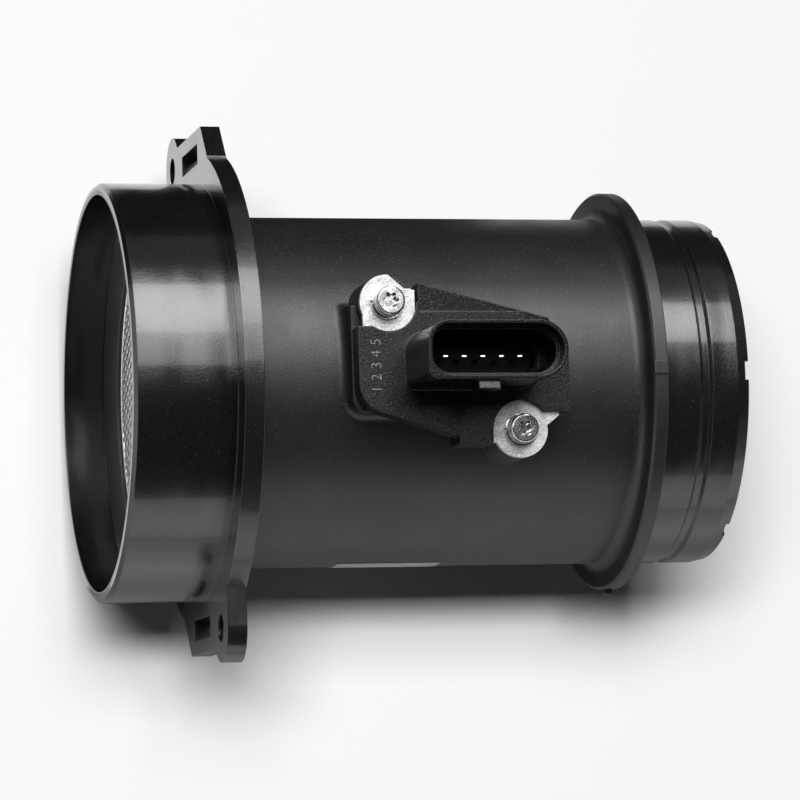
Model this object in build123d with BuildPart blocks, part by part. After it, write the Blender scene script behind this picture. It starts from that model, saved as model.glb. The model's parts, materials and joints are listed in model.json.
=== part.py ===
"""Mass airflow sensor: a moulded flow tube with a plug-in sensor module.

Millimetres.  +X runs along the tube from inlet to outlet, +Z is the side the
module plugs into, and the origin is on the tube axis at the seating face of
the bolting flange.
"""

import os

from build123d import *

os.makedirs("parts", exist_ok=True)

# ---------------------------------------------------------------- fits
SLIP = 0.1                 # gap left round a part that slides into another
SEAL_SLIP = 0.2            # gap between the module neck and its bore

# ---------------------------------------------------------------- flow tube
TUBE_R = 38.0              # outside of the tube and of the outlet spigot
TUBE_WALL = 2.5
BORE_R = TUBE_R - TUBE_WALL
SOCKET_R = 45.1            # outside of the inlet socket
SOCKET_WALL = 2.4
SOCKET_BORE_R = SOCKET_R - SOCKET_WALL
SOCKET_LENGTH = 21.7
MOUTH_X = -SOCKET_LENGTH
MOUTH_CHAMFER = 0.8
FLANGE_STEP = 6.7          # how far the flange stands out from the socket
FLANGE_R = SOCKET_R + FLANGE_STEP
FLANGE_T = 4.2
FLANGE_COVE = 1.2
RING_STEP = 5.8            # stop collar in front of the outlet spigot
RING_R = TUBE_R + RING_STEP
RING_X = 89.9
RING_T = 3.1
RING_BEVEL = 0.5
RING_COVE = 2.5
END_X = 113.0
END_CHAMFER_LENGTH = 2.5
END_CHAMFER_DEPTH = 0.5
GROOVE_X = 102.1           # shallow clamp groove round the spigot
GROOVE_LENGTH = 2.8
GROOVE_DEPTH = 0.7
GATE_WIDTH = 2.7           # small moulded lands on the collar
GATE_PROUD = 0.35
GATE_ROOT = 1.2
STUB_PROUD = 1.0           # clipped runner left on the collar's rim
STUB_LENGTH = 1.7
STUB_WIDTH = 2.0
NOTCH_COUNT = 6
NOTCH_WIDTH = 4.0
NOTCH_DEPTH = 0.8

# ---------------------------------------------------------------- bolt ears
BOLT_OUT = 6.9             # room for the bolt boss beside the socket
BOLT_Y = SOCKET_R + BOLT_OUT
BOLT_Z = -19.9
BOLT_HOLE_R = 2.9
LUG_R = 7.3
WING_OUT = 11.1
WING_Y = SOCKET_R + WING_OUT
WING_Z = 12.4
WING_SHOULDER_OUT = 3.6
WING_SHOULDER_Y = SOCKET_R + WING_SHOULDER_OUT
WING_SHOULDER_Z = 18.7
WING_CORNER_R = 1.2
WINDOW_WIDTH = 17.2
WINDOW_HEIGHT = 4.4
WINDOW_OUT = 5.8
WINDOW_Y = SOCKET_R + WINDOW_OUT

# ---------------------------------------------------------------- flow screen
SEAT_DEPTH = 12.7          # from the mouth to the shoulder the screen sits on
SEAT_X = MOUTH_X + SEAT_DEPTH
SCREEN_T = 1.2
SCREEN_X = SEAT_X - SCREEN_T
SCREEN_RIM = 6.0
SCREEN_PITCH = 6.6
SCREEN_BAR = 0.9
SCREEN_BARS = 2 * int((SOCKET_BORE_R - SCREEN_RIM) / SCREEN_PITCH) + 1
RETAINER_LENGTH = 2.7
RETAINER_LIP = 0.6
RETAINER_WIDTH = 6.6
RETAINER_INNER_R = SOCKET_BORE_R - RETAINER_WIDTH

# ---------------------------------------------------------------- module seat
# Every x from here on is measured from MODULE_X.
MODULE_X = 45.7            # centre of the module along the tube
PAD_HEIGHT = 3.5           # raised seat above the top line of the tube
PAD_Z = TUBE_R + PAD_HEIGHT
PAD_LEFT = -20.7
PAD_RIGHT = 21.3
PAD_HALF_WIDTH = 9.0
PAD_CORNER_R = 3.0
PAD_TAPER = 4.0
PAD_COVE = 2.0             # where its sides run out into the tube
SOLID_DEPTH = 12.0         # how far boss and pad solids run down into the wall
SCREW_DX = 13.9            # screw offset from the module centre
SCREW_DY = 13.35
SCREW_UPPER = (-SCREW_DX, SCREW_DY)
SCREW_LOWER = (SCREW_DX, -SCREW_DY)
SCREWS = (SCREW_UPPER, SCREW_LOWER)
BOSS_R = 5.8
BOSS_HEIGHT = 3.1          # bosses above the pad; the steel carrier lies on them
CARRIER_Z = PAD_Z + BOSS_HEIGHT
CARRIER_T = 1.2
CARRIER_TOP = CARRIER_Z + CARRIER_T
SEAL_BORE_R = 9.6
SEAL_WALL = 0.6

# ---------------------------------------------------------------- module plate
PLATE_T = 5.3
PLATE_TOP = PAD_Z + PLATE_T
PLATE_LEFT = -20.5
PLATE_LEFT_LOW = -8.3
PLATE_HEEL_Y = 8.3         # top edge left of the web, under the upper screw
PLATE_CORNER_R = 6.0
PLATE_SLANT_LOW = -14.6
PLATE_RIGHT = 24.6
PLATE_RIGHT_LOW = -9.6
PLATE_RIGHT_HIGH = 5.0
WEB_LEFT = -7.4
WEB_HIGH = 17.4
WEB_REAR_X = 20.9
WEB_REAR_Y = 10.4
LEDGE_HIGH = 11.45         # level ledge beside the shroud; the gusset outside it
LEDGE_REAR = 15.5          # is sunk and falls away towards the outlet
GUSSET_LOW = 8.6
GUSSET_STEP = 0.4
GUSSET_FALL = 2.2
EYELET_R = 5.85
EYELET_HOLE_R = 2.1
NICK_DX = 3.7              # nick in the upper eyelet's rim, from the screw
NICK_DY = 2.9
NICK_SLOPE = 0.87
EYELET_GAP = 0.25
FOOT_LEFT = 0.5
FOOT_WIDTH = 7.0
FOOT_CLEAR = 2.6           # foot stands clear of the flank of the seat
FOOT_T = 3.6
FOOT_DROP = 2.9
FOOT_HIGH = -SEAL_BORE_R - SEAL_WALL - FOOT_CLEAR
FOOT_LOW = FOOT_HIGH - FOOT_T

# ---------------------------------------------------------------- steel carrier
ARM_OVERHANG = 5.3         # how far the arms pass the screws, outwards
ARM_INSET = 5.9            # and back towards the module centre
ARM_SIDE_INSET = 2.25
ARM_OVERRUN = 2.65
CARRIER_HALF = 6.5
CARRIER_CORNER_R = 2.0
CARRIER_WINDOW_MARGIN = 1.4
CARRIER_WINDOW_HEIGHT = 7.0
TAB_OUT = 8.4              # small tab on the lower eyelet, from the screw
TAB_ROOT_OUT = 6.0
TAB_TIP_DY = 2.95
TAB_ROOT_DY = 1.05

# ---------------------------------------------------------------- plug shroud
PLUG_X = 4.15              # centre of the shroud
PLUG_Y = 1.0
SHROUD_LENGTH = 29.5
SHROUD_WIDTH = 12.2
SHROUD_HEIGHT = 19.5
SHROUD_CORNER_R = 4.4      # upper left corner; the other end is fully round
SHROUD_TOP = PLATE_TOP + SHROUD_HEIGHT
SHROUD_LOW = PLUG_Y - SHROUD_WIDTH / 2
SHROUD_LIP = 0.8
SHROUD_WALL = 1.6
LEAD_IN_DEPTH = 3.5
LEAD_IN_Z = SHROUD_TOP - LEAD_IN_DEPTH
FLOOR_RISE = 1.0           # plug floor above the plate
FLOOR_Z = PLATE_TOP + FLOOR_RISE
LEDGE_RISE = 2.8
LEDGE_Z = FLOOR_Z + LEDGE_RISE
LEDGE_WIDTH = 1.2
KEY_OUTER_R = 1.8
KEY_INNER_R = 4.0
KEY_FLOOR_R = 3.2
LATCH_X = 2.15
LATCH_WIDTH = 4.5
LATCH_PROUD = 2.0
LATCH_SETBACK = 0.4
LATCH_TOP = SHROUD_TOP - LATCH_SETBACK
LATCH_SLOPE = 0.5          # its top dips towards the shroud
LATCH_HEIGHT = 5.3

# ---------------------------------------------------------------- terminals
PIN_COUNT = 5
PIN_PITCH = 3.96
PIN_X = 3.8
PIN_Y = 0.95
PIN_FIRST_X = PIN_X - PIN_PITCH * (PIN_COUNT - 1) / 2
PIN_LAST_X = PIN_X + PIN_PITCH * (PIN_COUNT - 1) / 2
PIN_WIDTH = 1.0
PIN_T = 0.6
PIN_REACH = 7.0            # above the plug floor
PIN_ROOT = 5.0             # below it
PIN_BOTTOM = FLOOR_Z - PIN_ROOT
PIN_POINT = 0.25

# ---------------------------------------------------------------- probe
NECK_LENGTH = 10.5
NECK_BOTTOM = PAD_Z - NECK_LENGTH
NECK_R = SEAL_BORE_R - SEAL_SLIP
ORING_SECTION_R = 0.9
ORING_DEPTH = 2.7
ORING_Z = PAD_Z - ORING_DEPTH
ORING_GROOVE_LENGTH = 2.2
PROBE_WIDTH = 15.6
PROBE_LEFT = -PROBE_WIDTH / 2
PROBE_RIGHT = PROBE_WIDTH / 2
PROBE_FRONT = -4.4
PROBE_SPLIT = 2.7          # face the cover closes
PROBE_BOTTOM = -8.0        # just past the tube axis, where the air is sampled
COVER_T = 1.9
CHANNEL_DEPTH = 5.0
CHANNEL_HALF = 3.4
CHANNEL_LEFT = -0.8
CHANNEL_RIGHT = 5.2
CHANNEL_EXIT_LOW = 11.0
CHANNEL_EXIT_HIGH = 17.0
BOARD_T = 1.0
BOARD_FACE = PIN_Y - PIN_T / 2     # the terminals lie on the board
BOARD_HEAD_MARGIN = 1.6
BOARD_HEAD_RISE = 0.8
BOARD_HEAD_HEIGHT = 3.3
BOARD_HEAD_LOW = PAD_Z + BOARD_HEAD_RISE
BOARD_HEAD_HIGH = BOARD_HEAD_LOW + BOARD_HEAD_HEIGHT
BOARD_INSET = 1.5
BOARD_STEM_LEFT = PROBE_LEFT + BOARD_INSET
BOARD_STEM_WIDTH = 4.8
CHIP_REACH = 2.7           # how far the chip tongue stands into the air way
BOARD_TONGUE_RIGHT = CHANNEL_LEFT + CHIP_REACH
BOARD_BOTTOM = 5.0
BOARD_TONGUE_TOP = 10.2
CHIP_SIZE = 2.2
CHIP_T = 0.4
THERMISTOR_Z = 22.0
THERMISTOR_R = 0.9
THERMISTOR_ROUND = 0.6
THERMISTOR_REACH = 1.5
THERMISTOR_LENGTH = 2.6
THERMISTOR_WIRE_R = 0.3
THERMISTOR_WIRE_GAP = 1.0

# ---------------------------------------------------------------- screws
WASHER_R = 3.6
WASHER_T = 0.9
WASHER_SPLIT = 0.5
HEAD_R = 3.3
HEAD_TOP_R = 3.0
HEAD_H = 2.8
HEAD_ROUND = 0.42
RECESS_R = 1.2
RECESS_LOBES = 6
RECESS_LOBE_R = 0.42
RECESS_LOBE_AT = 1.3
RECESS_DEPTH = 1.5
SHANK_R = 1.9
SCREW_LENGTH = 9.0
PILOT_EXTRA = 0.6


def save(piece, name):
    """Label one piece and write its STEP file."""
    piece.part.label = name
    export_step(piece.part, f"parts/{name}.step")


def module_level(z):
    """Plane across the module at height z, its origin on the module axis."""
    return Plane(origin=(MODULE_X, 0, z))


def module_side(y):
    """Upright plane along the tube at y, facing -Y, its origin over the module."""
    return Plane(origin=(MODULE_X, y, 0), x_dir=(1, 0, 0), z_dir=(0, -1, 0))


def module_section(x):
    """Upright plane across the tube at x from the module axis, facing +X."""
    return Plane.YZ.offset(MODULE_X + x)


def pin_centres():
    """X of every connector terminal."""
    return [PIN_FIRST_X + PIN_PITCH * i for i in range(PIN_COUNT)]


# ================================================================ flow tube
def tube_outline():
    """Half section of the outside, as (x, radius)."""
    with BuildSketch(Plane.XY) as half:
        with BuildLine():
            Polyline(
                (MOUTH_X, 0),
                (MOUTH_X, SOCKET_R - MOUTH_CHAMFER),
                (MOUTH_X + MOUTH_CHAMFER, SOCKET_R),
                (0, SOCKET_R),
                (0, FLANGE_R),
                (FLANGE_T, FLANGE_R),
                (FLANGE_T, TUBE_R + FLANGE_COVE),
            )
            RadiusArc(
                (FLANGE_T, TUBE_R + FLANGE_COVE),
                (FLANGE_T + FLANGE_COVE, TUBE_R),
                -FLANGE_COVE,
            )
            Line((FLANGE_T + FLANGE_COVE, TUBE_R), (RING_X - RING_COVE, TUBE_R))
            RadiusArc(
                (RING_X - RING_COVE, TUBE_R),
                (RING_X, TUBE_R + RING_COVE),
                -RING_COVE,
            )
            Polyline(
                (RING_X, TUBE_R + RING_COVE),
                (RING_X, RING_R - RING_BEVEL),
                (RING_X + RING_BEVEL, RING_R),
                (RING_X + RING_T, RING_R),
                (RING_X + RING_T, TUBE_R),
                (GROOVE_X, TUBE_R),
                (GROOVE_X + GROOVE_DEPTH, TUBE_R - GROOVE_DEPTH),
                (GROOVE_X + GROOVE_LENGTH - GROOVE_DEPTH, TUBE_R - GROOVE_DEPTH),
                (GROOVE_X + GROOVE_LENGTH, TUBE_R),
                (END_X - END_CHAMFER_LENGTH, TUBE_R),
                (END_X, TUBE_R - END_CHAMFER_DEPTH),
                (END_X, 0),
                (MOUTH_X, 0),
            )
        make_face()
    return half.sketch


def ear_outline():
    """Both bolt ears in the flange plane, as (y, z), half a turn apart."""
    with BuildSketch(Plane.YZ) as ears:
        with PolarLocations(0, 2):
            with Locations((BOLT_Y, BOLT_Z)):
                Circle(LUG_R)
            with Locations((BOLT_Y / 2, BOLT_Z)):
                Rectangle(BOLT_Y, 2 * LUG_R)
            Polygon(
                (0, BOLT_Z),
                (WING_Y, BOLT_Z),
                (WING_Y, WING_Z),
                (WING_SHOULDER_Y, WING_SHOULDER_Z),
                (0, WING_SHOULDER_Z),
                align=None,
            )
        corners = ears.vertices().filter_by(
            lambda v: v.Y * v.Z > 0 and abs(v.Y) > (WING_SHOULDER_Y + WING_Y) / 2
        )
        fillet(corners, WING_CORNER_R)
    return ears.sketch


with BuildPart() as flow_tube:
    revolve(tube_outline(), axis=Axis.X)
    extrude(ear_outline(), amount=FLANGE_T)

    # gate lands left on the collar at the parting plane
    with BuildSketch(Plane.YZ.offset(RING_X)):
        with PolarLocations(0, 2, start_angle=90):
            with Locations((RING_R - GATE_ROOT, 0)):
                Rectangle(
                    GATE_ROOT + GATE_PROUD, GATE_WIDTH, align=(Align.MIN, Align.CENTER)
                )
    extrude(amount=RING_T)
    with BuildSketch(Plane.YZ.offset(RING_X + RING_BEVEL)):
        with Locations((-RING_R - STUB_PROUD, 0)):
            Rectangle(STUB_PROUD + GATE_ROOT, STUB_WIDTH, align=(Align.MIN, Align.MAX))
    extrude(amount=STUB_LENGTH)

    # raised seat for the module, widened round the seal bore and coved at its foot
    with BuildSketch(module_level(PAD_Z)):
        with Locations(((PAD_LEFT + PAD_RIGHT) / 2, 0)):
            RectangleRounded(PAD_RIGHT - PAD_LEFT, 2 * PAD_HALF_WIDTH, PAD_CORNER_R)
        with Locations((PAD_LEFT, 0)):
            Rectangle(
                SCREW_UPPER[0] - PAD_LEFT, SCREW_DY, align=(Align.MIN, Align.MIN)
            )
        Circle(SEAL_BORE_R + SEAL_WALL)
    extrude(amount=-SOLID_DEPTH, taper=-PAD_TAPER)
    foot = [
        edge
        for edge in flow_tube.edges(Select.LAST)
        if abs(Vector(0, (edge @ 0.5).Y, (edge @ 0.5).Z).length - TUBE_R) < SLIP
    ]
    fillet(foot, PAD_COVE)

    # screw bosses
    with BuildSketch(module_level(CARRIER_Z)):
        with Locations(*SCREWS):
            Circle(BOSS_R)
    extrude(amount=-SOLID_DEPTH - BOSS_HEIGHT)

    # inside: mouth, screen seat and bore
    with BuildSketch(Plane.YZ.offset(MOUTH_X)):
        Circle(SOCKET_BORE_R)
    extrude(amount=SEAT_X - MOUTH_X, mode=Mode.SUBTRACT)
    with BuildSketch(Plane.YZ.offset(SEAT_X)):
        Circle(BORE_R)
    extrude(amount=END_X - SEAT_X, mode=Mode.SUBTRACT)

    # bore the module plugs into
    with BuildSketch(module_level(PAD_Z)):
        Circle(SEAL_BORE_R)
    extrude(amount=-PAD_Z, mode=Mode.SUBTRACT)

    # pilot holes for the two screws
    with BuildSketch(module_level(CARRIER_Z)):
        with Locations(*SCREWS):
            Circle(SHANK_R + SLIP)
    extrude(amount=-SCREW_LENGTH - PILOT_EXTRA, mode=Mode.SUBTRACT)

    # ears: bolt holes and windows
    with BuildSketch(Plane.YZ):
        with PolarLocations(0, 2):
            with Locations((BOLT_Y, BOLT_Z)):
                Circle(BOLT_HOLE_R)
            with Locations((WINDOW_Y, 0)):
                Rectangle(WINDOW_HEIGHT, WINDOW_WIDTH)
    extrude(amount=FLANGE_T, mode=Mode.SUBTRACT)

    # small notches in the outlet rim
    with BuildSketch(Plane.YZ.offset(END_X)):
        with PolarLocations(TUBE_R - TUBE_WALL / 2, NOTCH_COUNT, start_angle=90):
            Rectangle(2 * TUBE_WALL, NOTCH_WIDTH)
    extrude(amount=-NOTCH_DEPTH, mode=Mode.SUBTRACT)

save(flow_tube, "flow_tube")


# ================================================================ flow screen
with BuildPart() as flow_screen:
    with BuildSketch(Plane.YZ.offset(SCREEN_X)):
        Circle(SOCKET_BORE_R - SLIP)
        Circle(SOCKET_BORE_R - SLIP - SCREEN_RIM, mode=Mode.SUBTRACT)
    extrude(amount=SCREEN_T)
    with BuildSketch(Plane.YZ.offset(SCREEN_X)):
        with GridLocations(0, SCREEN_PITCH, 1, SCREEN_BARS):
            Rectangle(2 * SOCKET_BORE_R, SCREEN_BAR)
        with GridLocations(SCREEN_PITCH, 0, SCREEN_BARS, 1):
            Rectangle(SCREEN_BAR, 2 * SOCKET_BORE_R)
        Circle(SOCKET_BORE_R - SLIP - SCREEN_RIM / 2, mode=Mode.INTERSECT)
    extrude(amount=SCREEN_T)

save(flow_screen, "flow_screen")

with BuildPart() as screen_ring:
    with BuildSketch(Plane.XY):
        with BuildLine():
            Polyline(
                (SCREEN_X, SOCKET_BORE_R),
                (SCREEN_X - RETAINER_LENGTH, SOCKET_BORE_R),
                (SCREEN_X - RETAINER_LENGTH, SOCKET_BORE_R - RETAINER_LIP),
                (SCREEN_X - RETAINER_LIP, RETAINER_INNER_R),
                (SCREEN_X, RETAINER_INNER_R),
                close=True,
            )
        make_face()
    revolve(axis=Axis.X)

save(screen_ring, "screen_ring")


# ================================================================ module housing
def plate_outline():
    """Module plate from above."""
    with BuildSketch(Plane.XY) as plate:
        with BuildLine():
            Polyline(
                (PLATE_LEFT, PLATE_HEEL_Y),
                (PLATE_LEFT, PLATE_LEFT_LOW),
                (FOOT_LEFT, PLATE_SLANT_LOW),
                (FOOT_LEFT, FOOT_LOW),
                (FOOT_LEFT + FOOT_WIDTH, FOOT_LOW),
                (FOOT_LEFT + FOOT_WIDTH, SCREW_LOWER[1]),
                SCREW_LOWER,
                (SCREW_LOWER[0], PLATE_RIGHT_LOW),
                (PLATE_RIGHT, PLATE_RIGHT_LOW),
                (PLATE_RIGHT, PLATE_RIGHT_HIGH),
                (WEB_REAR_X, WEB_REAR_Y),
                (WEB_LEFT, WEB_HIGH),
                (WEB_LEFT, SCREW_UPPER[1]),
                SCREW_UPPER,
                (SCREW_UPPER[0], PLATE_HEEL_Y),
                close=True,
            )
        make_face()
        corner = plate.vertices().sort_by(Axis.X)[:2].sort_by(Axis.Y)[:1]
        fillet(corner, PLATE_CORNER_R)
        with Locations(*SCREWS):
            Circle(EYELET_R + EYELET_GAP, mode=Mode.SUBTRACT)
    return plate.sketch


def shroud_outline(inset, key_r):
    """Connector shroud from above; the lower left corner keys the plug."""
    length = SHROUD_LENGTH - 2 * inset
    width = SHROUD_WIDTH - 2 * inset
    with BuildSketch(Plane.XY) as ring:
        with Locations((PLUG_X, PLUG_Y)):
            SlotOverall(length, width)
            Rectangle(length / 2, width, align=(Align.MAX, Align.CENTER))
        fillet(ring.vertices().sort_by(lambda v: v.X + v.Y)[:1], key_r)
        fillet(ring.vertices().sort_by(lambda v: v.X - v.Y)[:1], SHROUD_CORNER_R - inset)
    return ring.sketch


def board_outline(slack):
    """Circuit board seen along the tube side, as (x, z)."""
    stem_right = BOARD_STEM_LEFT + BOARD_STEM_WIDTH
    head_left = PIN_FIRST_X - BOARD_HEAD_MARGIN
    head_right = PIN_LAST_X + BOARD_HEAD_MARGIN
    with BuildSketch(Plane.XY) as board:
        for left, right, low, high in (
            (head_left, head_right, BOARD_HEAD_LOW, BOARD_HEAD_HIGH),
            (BOARD_STEM_LEFT, stem_right, BOARD_BOTTOM, BOARD_HEAD_HIGH),
            (BOARD_STEM_LEFT, BOARD_TONGUE_RIGHT, BOARD_BOTTOM, BOARD_TONGUE_TOP),
        ):
            with Locations(((left + right) / 2, (low + high) / 2)):
                Rectangle(right - left + 2 * slack, high - low + 2 * slack)
    return board.sketch


def carrier_outline():
    """Steel carrier from above: two eyelets, half a turn apart, on one frame."""
    arm_out = SCREW_DX + ARM_OVERHANG
    arm_in = SCREW_DX - ARM_INSET
    arm_side = SCREW_DY - ARM_SIDE_INSET
    arm_end = SCREW_DY + ARM_OVERRUN
    tab_x, tab_y = SCREW_LOWER
    window = PIN_LAST_X - PIN_FIRST_X + 2 * (BOARD_HEAD_MARGIN + CARRIER_WINDOW_MARGIN)
    with BuildSketch(Plane.XY) as steel:
        RectangleRounded(2 * arm_out, 2 * CARRIER_HALF, CARRIER_CORNER_R)
        with PolarLocations(0, 2):
            Polygon(
                (-arm_out, 0),
                (-SCREW_DX, 0),
                (-SCREW_DX, arm_side),
                (-arm_out, arm_side),
                align=None,
            )
            Polygon(
                (-SCREW_DX, 0),
                (-arm_in, 0),
                (-arm_in, arm_end),
                (-SCREW_DX, arm_end),
                align=None,
            )
        with Locations(*SCREWS):
            Circle(EYELET_R)
        with Locations(SCREW_UPPER):
            Polygon(
                (NICK_DX, NICK_DY),
                (SCREW_DX, NICK_DY),
                (SCREW_DX, EYELET_R),
                (NICK_DX - (EYELET_R - NICK_DY) / NICK_SLOPE, EYELET_R),
                align=None,
                mode=Mode.SUBTRACT,
            )
        Polygon(
            (tab_x, tab_y + CARRIER_HALF),
            (tab_x, tab_y + TAB_ROOT_DY),
            (tab_x + TAB_ROOT_OUT, tab_y + TAB_ROOT_DY),
            (tab_x + TAB_OUT, tab_y + TAB_TIP_DY),
            (tab_x + TAB_OUT, tab_y + CARRIER_HALF),
            align=None,
        )
        with Locations((PIN_X, 0)):
            Rectangle(window, CARRIER_WINDOW_HEIGHT, mode=Mode.SUBTRACT)
    return steel.sketch


with BuildPart() as module_body:
    with BuildSketch(module_level(PAD_Z)):
        add(plate_outline())
    extrude(amount=PLATE_T)

    # foot that reaches down beside the raised seat
    with BuildSketch(module_level(PAD_Z)):
        with Locations((FOOT_LEFT, FOOT_LOW)):
            Rectangle(FOOT_WIDTH, FOOT_T, align=(Align.MIN, Align.MIN))
    extrude(amount=-FOOT_DROP)

    # gusset falling away on the upper side, with the ledge left level
    with BuildSketch(module_side(GUSSET_LOW)):
        Polygon(
            (WEB_LEFT, PLATE_TOP),
            (WEB_LEFT, PLATE_TOP - GUSSET_STEP),
            (PLATE_RIGHT, PLATE_TOP - GUSSET_FALL),
            (PLATE_RIGHT, PLATE_TOP),
            align=None,
        )
    extrude(amount=GUSSET_LOW - WEB_HIGH, mode=Mode.SUBTRACT)
    with BuildSketch(module_level(PLATE_TOP)):
        with Locations((WEB_LEFT, PLUG_Y)):
            Rectangle(LEDGE_REAR - WEB_LEFT, LEDGE_HIGH - PLUG_Y, align=(Align.MIN, Align.MIN))
    extrude(amount=-GUSSET_FALL)

    # plug shroud, its lead-in, its cavity and the inner floor
    with BuildSketch(module_level(PLATE_TOP)):
        add(shroud_outline(0, KEY_OUTER_R))
    extrude(amount=SHROUD_HEIGHT)
    with BuildSketch(module_level(SHROUD_TOP)):
        add(shroud_outline(SHROUD_LIP, KEY_INNER_R))
    extrude(amount=-LEAD_IN_DEPTH, mode=Mode.SUBTRACT)
    with BuildSketch(module_level(LEAD_IN_Z)):
        add(shroud_outline(SHROUD_WALL, KEY_INNER_R))
    extrude(amount=LEDGE_Z - LEAD_IN_Z, mode=Mode.SUBTRACT)
    with BuildSketch(module_level(LEDGE_Z)):
        add(shroud_outline(SHROUD_WALL + LEDGE_WIDTH, KEY_FLOOR_R))
    extrude(amount=-LEDGE_RISE, mode=Mode.SUBTRACT)

    # latch ramp on the outside of the shroud
    with BuildSketch(module_section(LATCH_X - LATCH_WIDTH / 2)):
        Polygon(
            (SHROUD_LOW, LATCH_TOP - LATCH_SLOPE),
            (SHROUD_LOW - LATCH_PROUD, LATCH_TOP),
            (SHROUD_LOW - LATCH_PROUD, LATCH_TOP - LATCH_HEIGHT),
            (SHROUD_LOW, LATCH_TOP - LATCH_HEIGHT),
            align=None,
        )
    extrude(amount=LATCH_WIDTH)

    # neck with its seal groove
    with BuildSketch(module_level(NECK_BOTTOM)):
        Circle(NECK_R)
    extrude(amount=NECK_LENGTH)
    with BuildSketch(module_level(ORING_Z - ORING_GROOVE_LENGTH / 2)):
        Circle(SEAL_BORE_R)
        Circle(SEAL_BORE_R - 2 * ORING_SECTION_R, mode=Mode.SUBTRACT)
    extrude(amount=ORING_GROOVE_LENGTH, mode=Mode.SUBTRACT)

    # pockets of the parts the moulding holds
    with BuildSketch(module_level(CARRIER_Z)):
        add(carrier_outline())
    extrude(amount=CARRIER_T, mode=Mode.SUBTRACT)
    with BuildSketch(module_side(BOARD_FACE + SLIP)):
        add(board_outline(SLIP))
    extrude(amount=BOARD_T + 2 * SLIP, mode=Mode.SUBTRACT)
    with BuildSketch(module_level(PIN_BOTTOM)):
        with Locations(*[(x, PIN_Y) for x in pin_centres()]):
            Rectangle(PIN_WIDTH, PIN_T)
    extrude(amount=PIN_ROOT, mode=Mode.SUBTRACT)

save(module_body, "module_body")

with BuildPart() as carrier_plate:
    with BuildSketch(module_level(CARRIER_Z)):
        add(carrier_outline())
        with Locations(*SCREWS):
            Circle(EYELET_HOLE_R, mode=Mode.SUBTRACT)
    extrude(amount=CARRIER_T)

save(carrier_plate, "carrier_plate")

with BuildPart() as o_ring:
    with BuildSketch(module_side(0)):
        with Locations((SEAL_BORE_R - ORING_SECTION_R, ORING_Z)):
            Circle(ORING_SECTION_R)
    revolve(axis=Axis((MODULE_X, 0, 0), (0, 0, 1)))

save(o_ring, "o_ring")


# ================================================================ terminals
for number, pin_x in enumerate(pin_centres(), start=1):
    with BuildPart() as terminal:
        with BuildSketch(module_level(PIN_BOTTOM)):
            with Locations((pin_x, PIN_Y)):
                Rectangle(PIN_WIDTH, PIN_T)
        extrude(amount=PIN_ROOT + PIN_REACH)
        chamfer(terminal.faces().sort_by(Axis.Z)[-1].edges(), PIN_POINT)
    save(terminal, f"terminal_{number}")


# ================================================================ probe
with BuildPart() as circuit_board:
    with BuildSketch(module_side(BOARD_FACE)):
        add(board_outline(0))
    extrude(amount=BOARD_T)

save(circuit_board, "circuit_board")

with BuildPart() as bypass_duct:
    with BuildSketch(module_level(PROBE_BOTTOM)):
        with Locations((0, (PROBE_FRONT + PROBE_SPLIT) / 2)):
            Rectangle(PROBE_WIDTH, PROBE_SPLIT - PROBE_FRONT)
    extrude(amount=NECK_BOTTOM - PROBE_BOTTOM)

    # air way: in at the front, up past the chip, out at the back
    with BuildSketch(module_side(PROBE_SPLIT)):
        Polygon(
            (PROBE_LEFT, -CHANNEL_HALF),
            (CHANNEL_RIGHT, -CHANNEL_HALF),
            (CHANNEL_RIGHT, CHANNEL_EXIT_LOW),
            (PROBE_RIGHT, CHANNEL_EXIT_LOW),
            (PROBE_RIGHT, CHANNEL_EXIT_HIGH),
            (CHANNEL_LEFT, CHANNEL_EXIT_HIGH),
            (CHANNEL_LEFT, CHANNEL_HALF),
            (PROBE_LEFT, CHANNEL_HALF),
            align=None,
        )
    extrude(amount=CHANNEL_DEPTH, mode=Mode.SUBTRACT)
    with BuildSketch(module_side(BOARD_FACE + SLIP)):
        add(board_outline(SLIP))
    extrude(amount=BOARD_T + 2 * SLIP, mode=Mode.SUBTRACT)

save(bypass_duct, "bypass_duct")

with BuildPart() as bypass_cover:
    with BuildSketch(module_level(PROBE_BOTTOM)):
        with Locations((0, PROBE_SPLIT + COVER_T / 2)):
            Rectangle(PROBE_WIDTH, COVER_T)
    extrude(amount=NECK_BOTTOM - PROBE_BOTTOM)

save(bypass_cover, "bypass_cover")

with BuildPart() as flow_chip:
    with BuildSketch(module_side(BOARD_FACE + CHIP_T)):
        with Locations((BOARD_TONGUE_RIGHT, (BOARD_BOTTOM + BOARD_TONGUE_TOP) / 2)):
            Rectangle(CHIP_SIZE, CHIP_SIZE, align=(Align.MAX, Align.CENTER))
    extrude(amount=CHIP_T)

save(flow_chip, "flow_chip")

with BuildPart() as air_temp_sensor:
    with BuildSketch(module_level(THERMISTOR_Z - THERMISTOR_LENGTH / 2)):
        with Locations((PROBE_LEFT - THERMISTOR_REACH, 0)):
            Circle(THERMISTOR_R)
    extrude(amount=THERMISTOR_LENGTH)
    fillet(air_temp_sensor.edges().filter_by(GeomType.CIRCLE), THERMISTOR_ROUND)
    with BuildSketch(module_section(PROBE_LEFT)):
        with Locations((0, THERMISTOR_Z)):
            with GridLocations(0, THERMISTOR_WIRE_GAP, 1, 2):
                Circle(THERMISTOR_WIRE_R)
    extrude(amount=-THERMISTOR_REACH)

save(air_temp_sensor, "air_temp_sensor")


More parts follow.
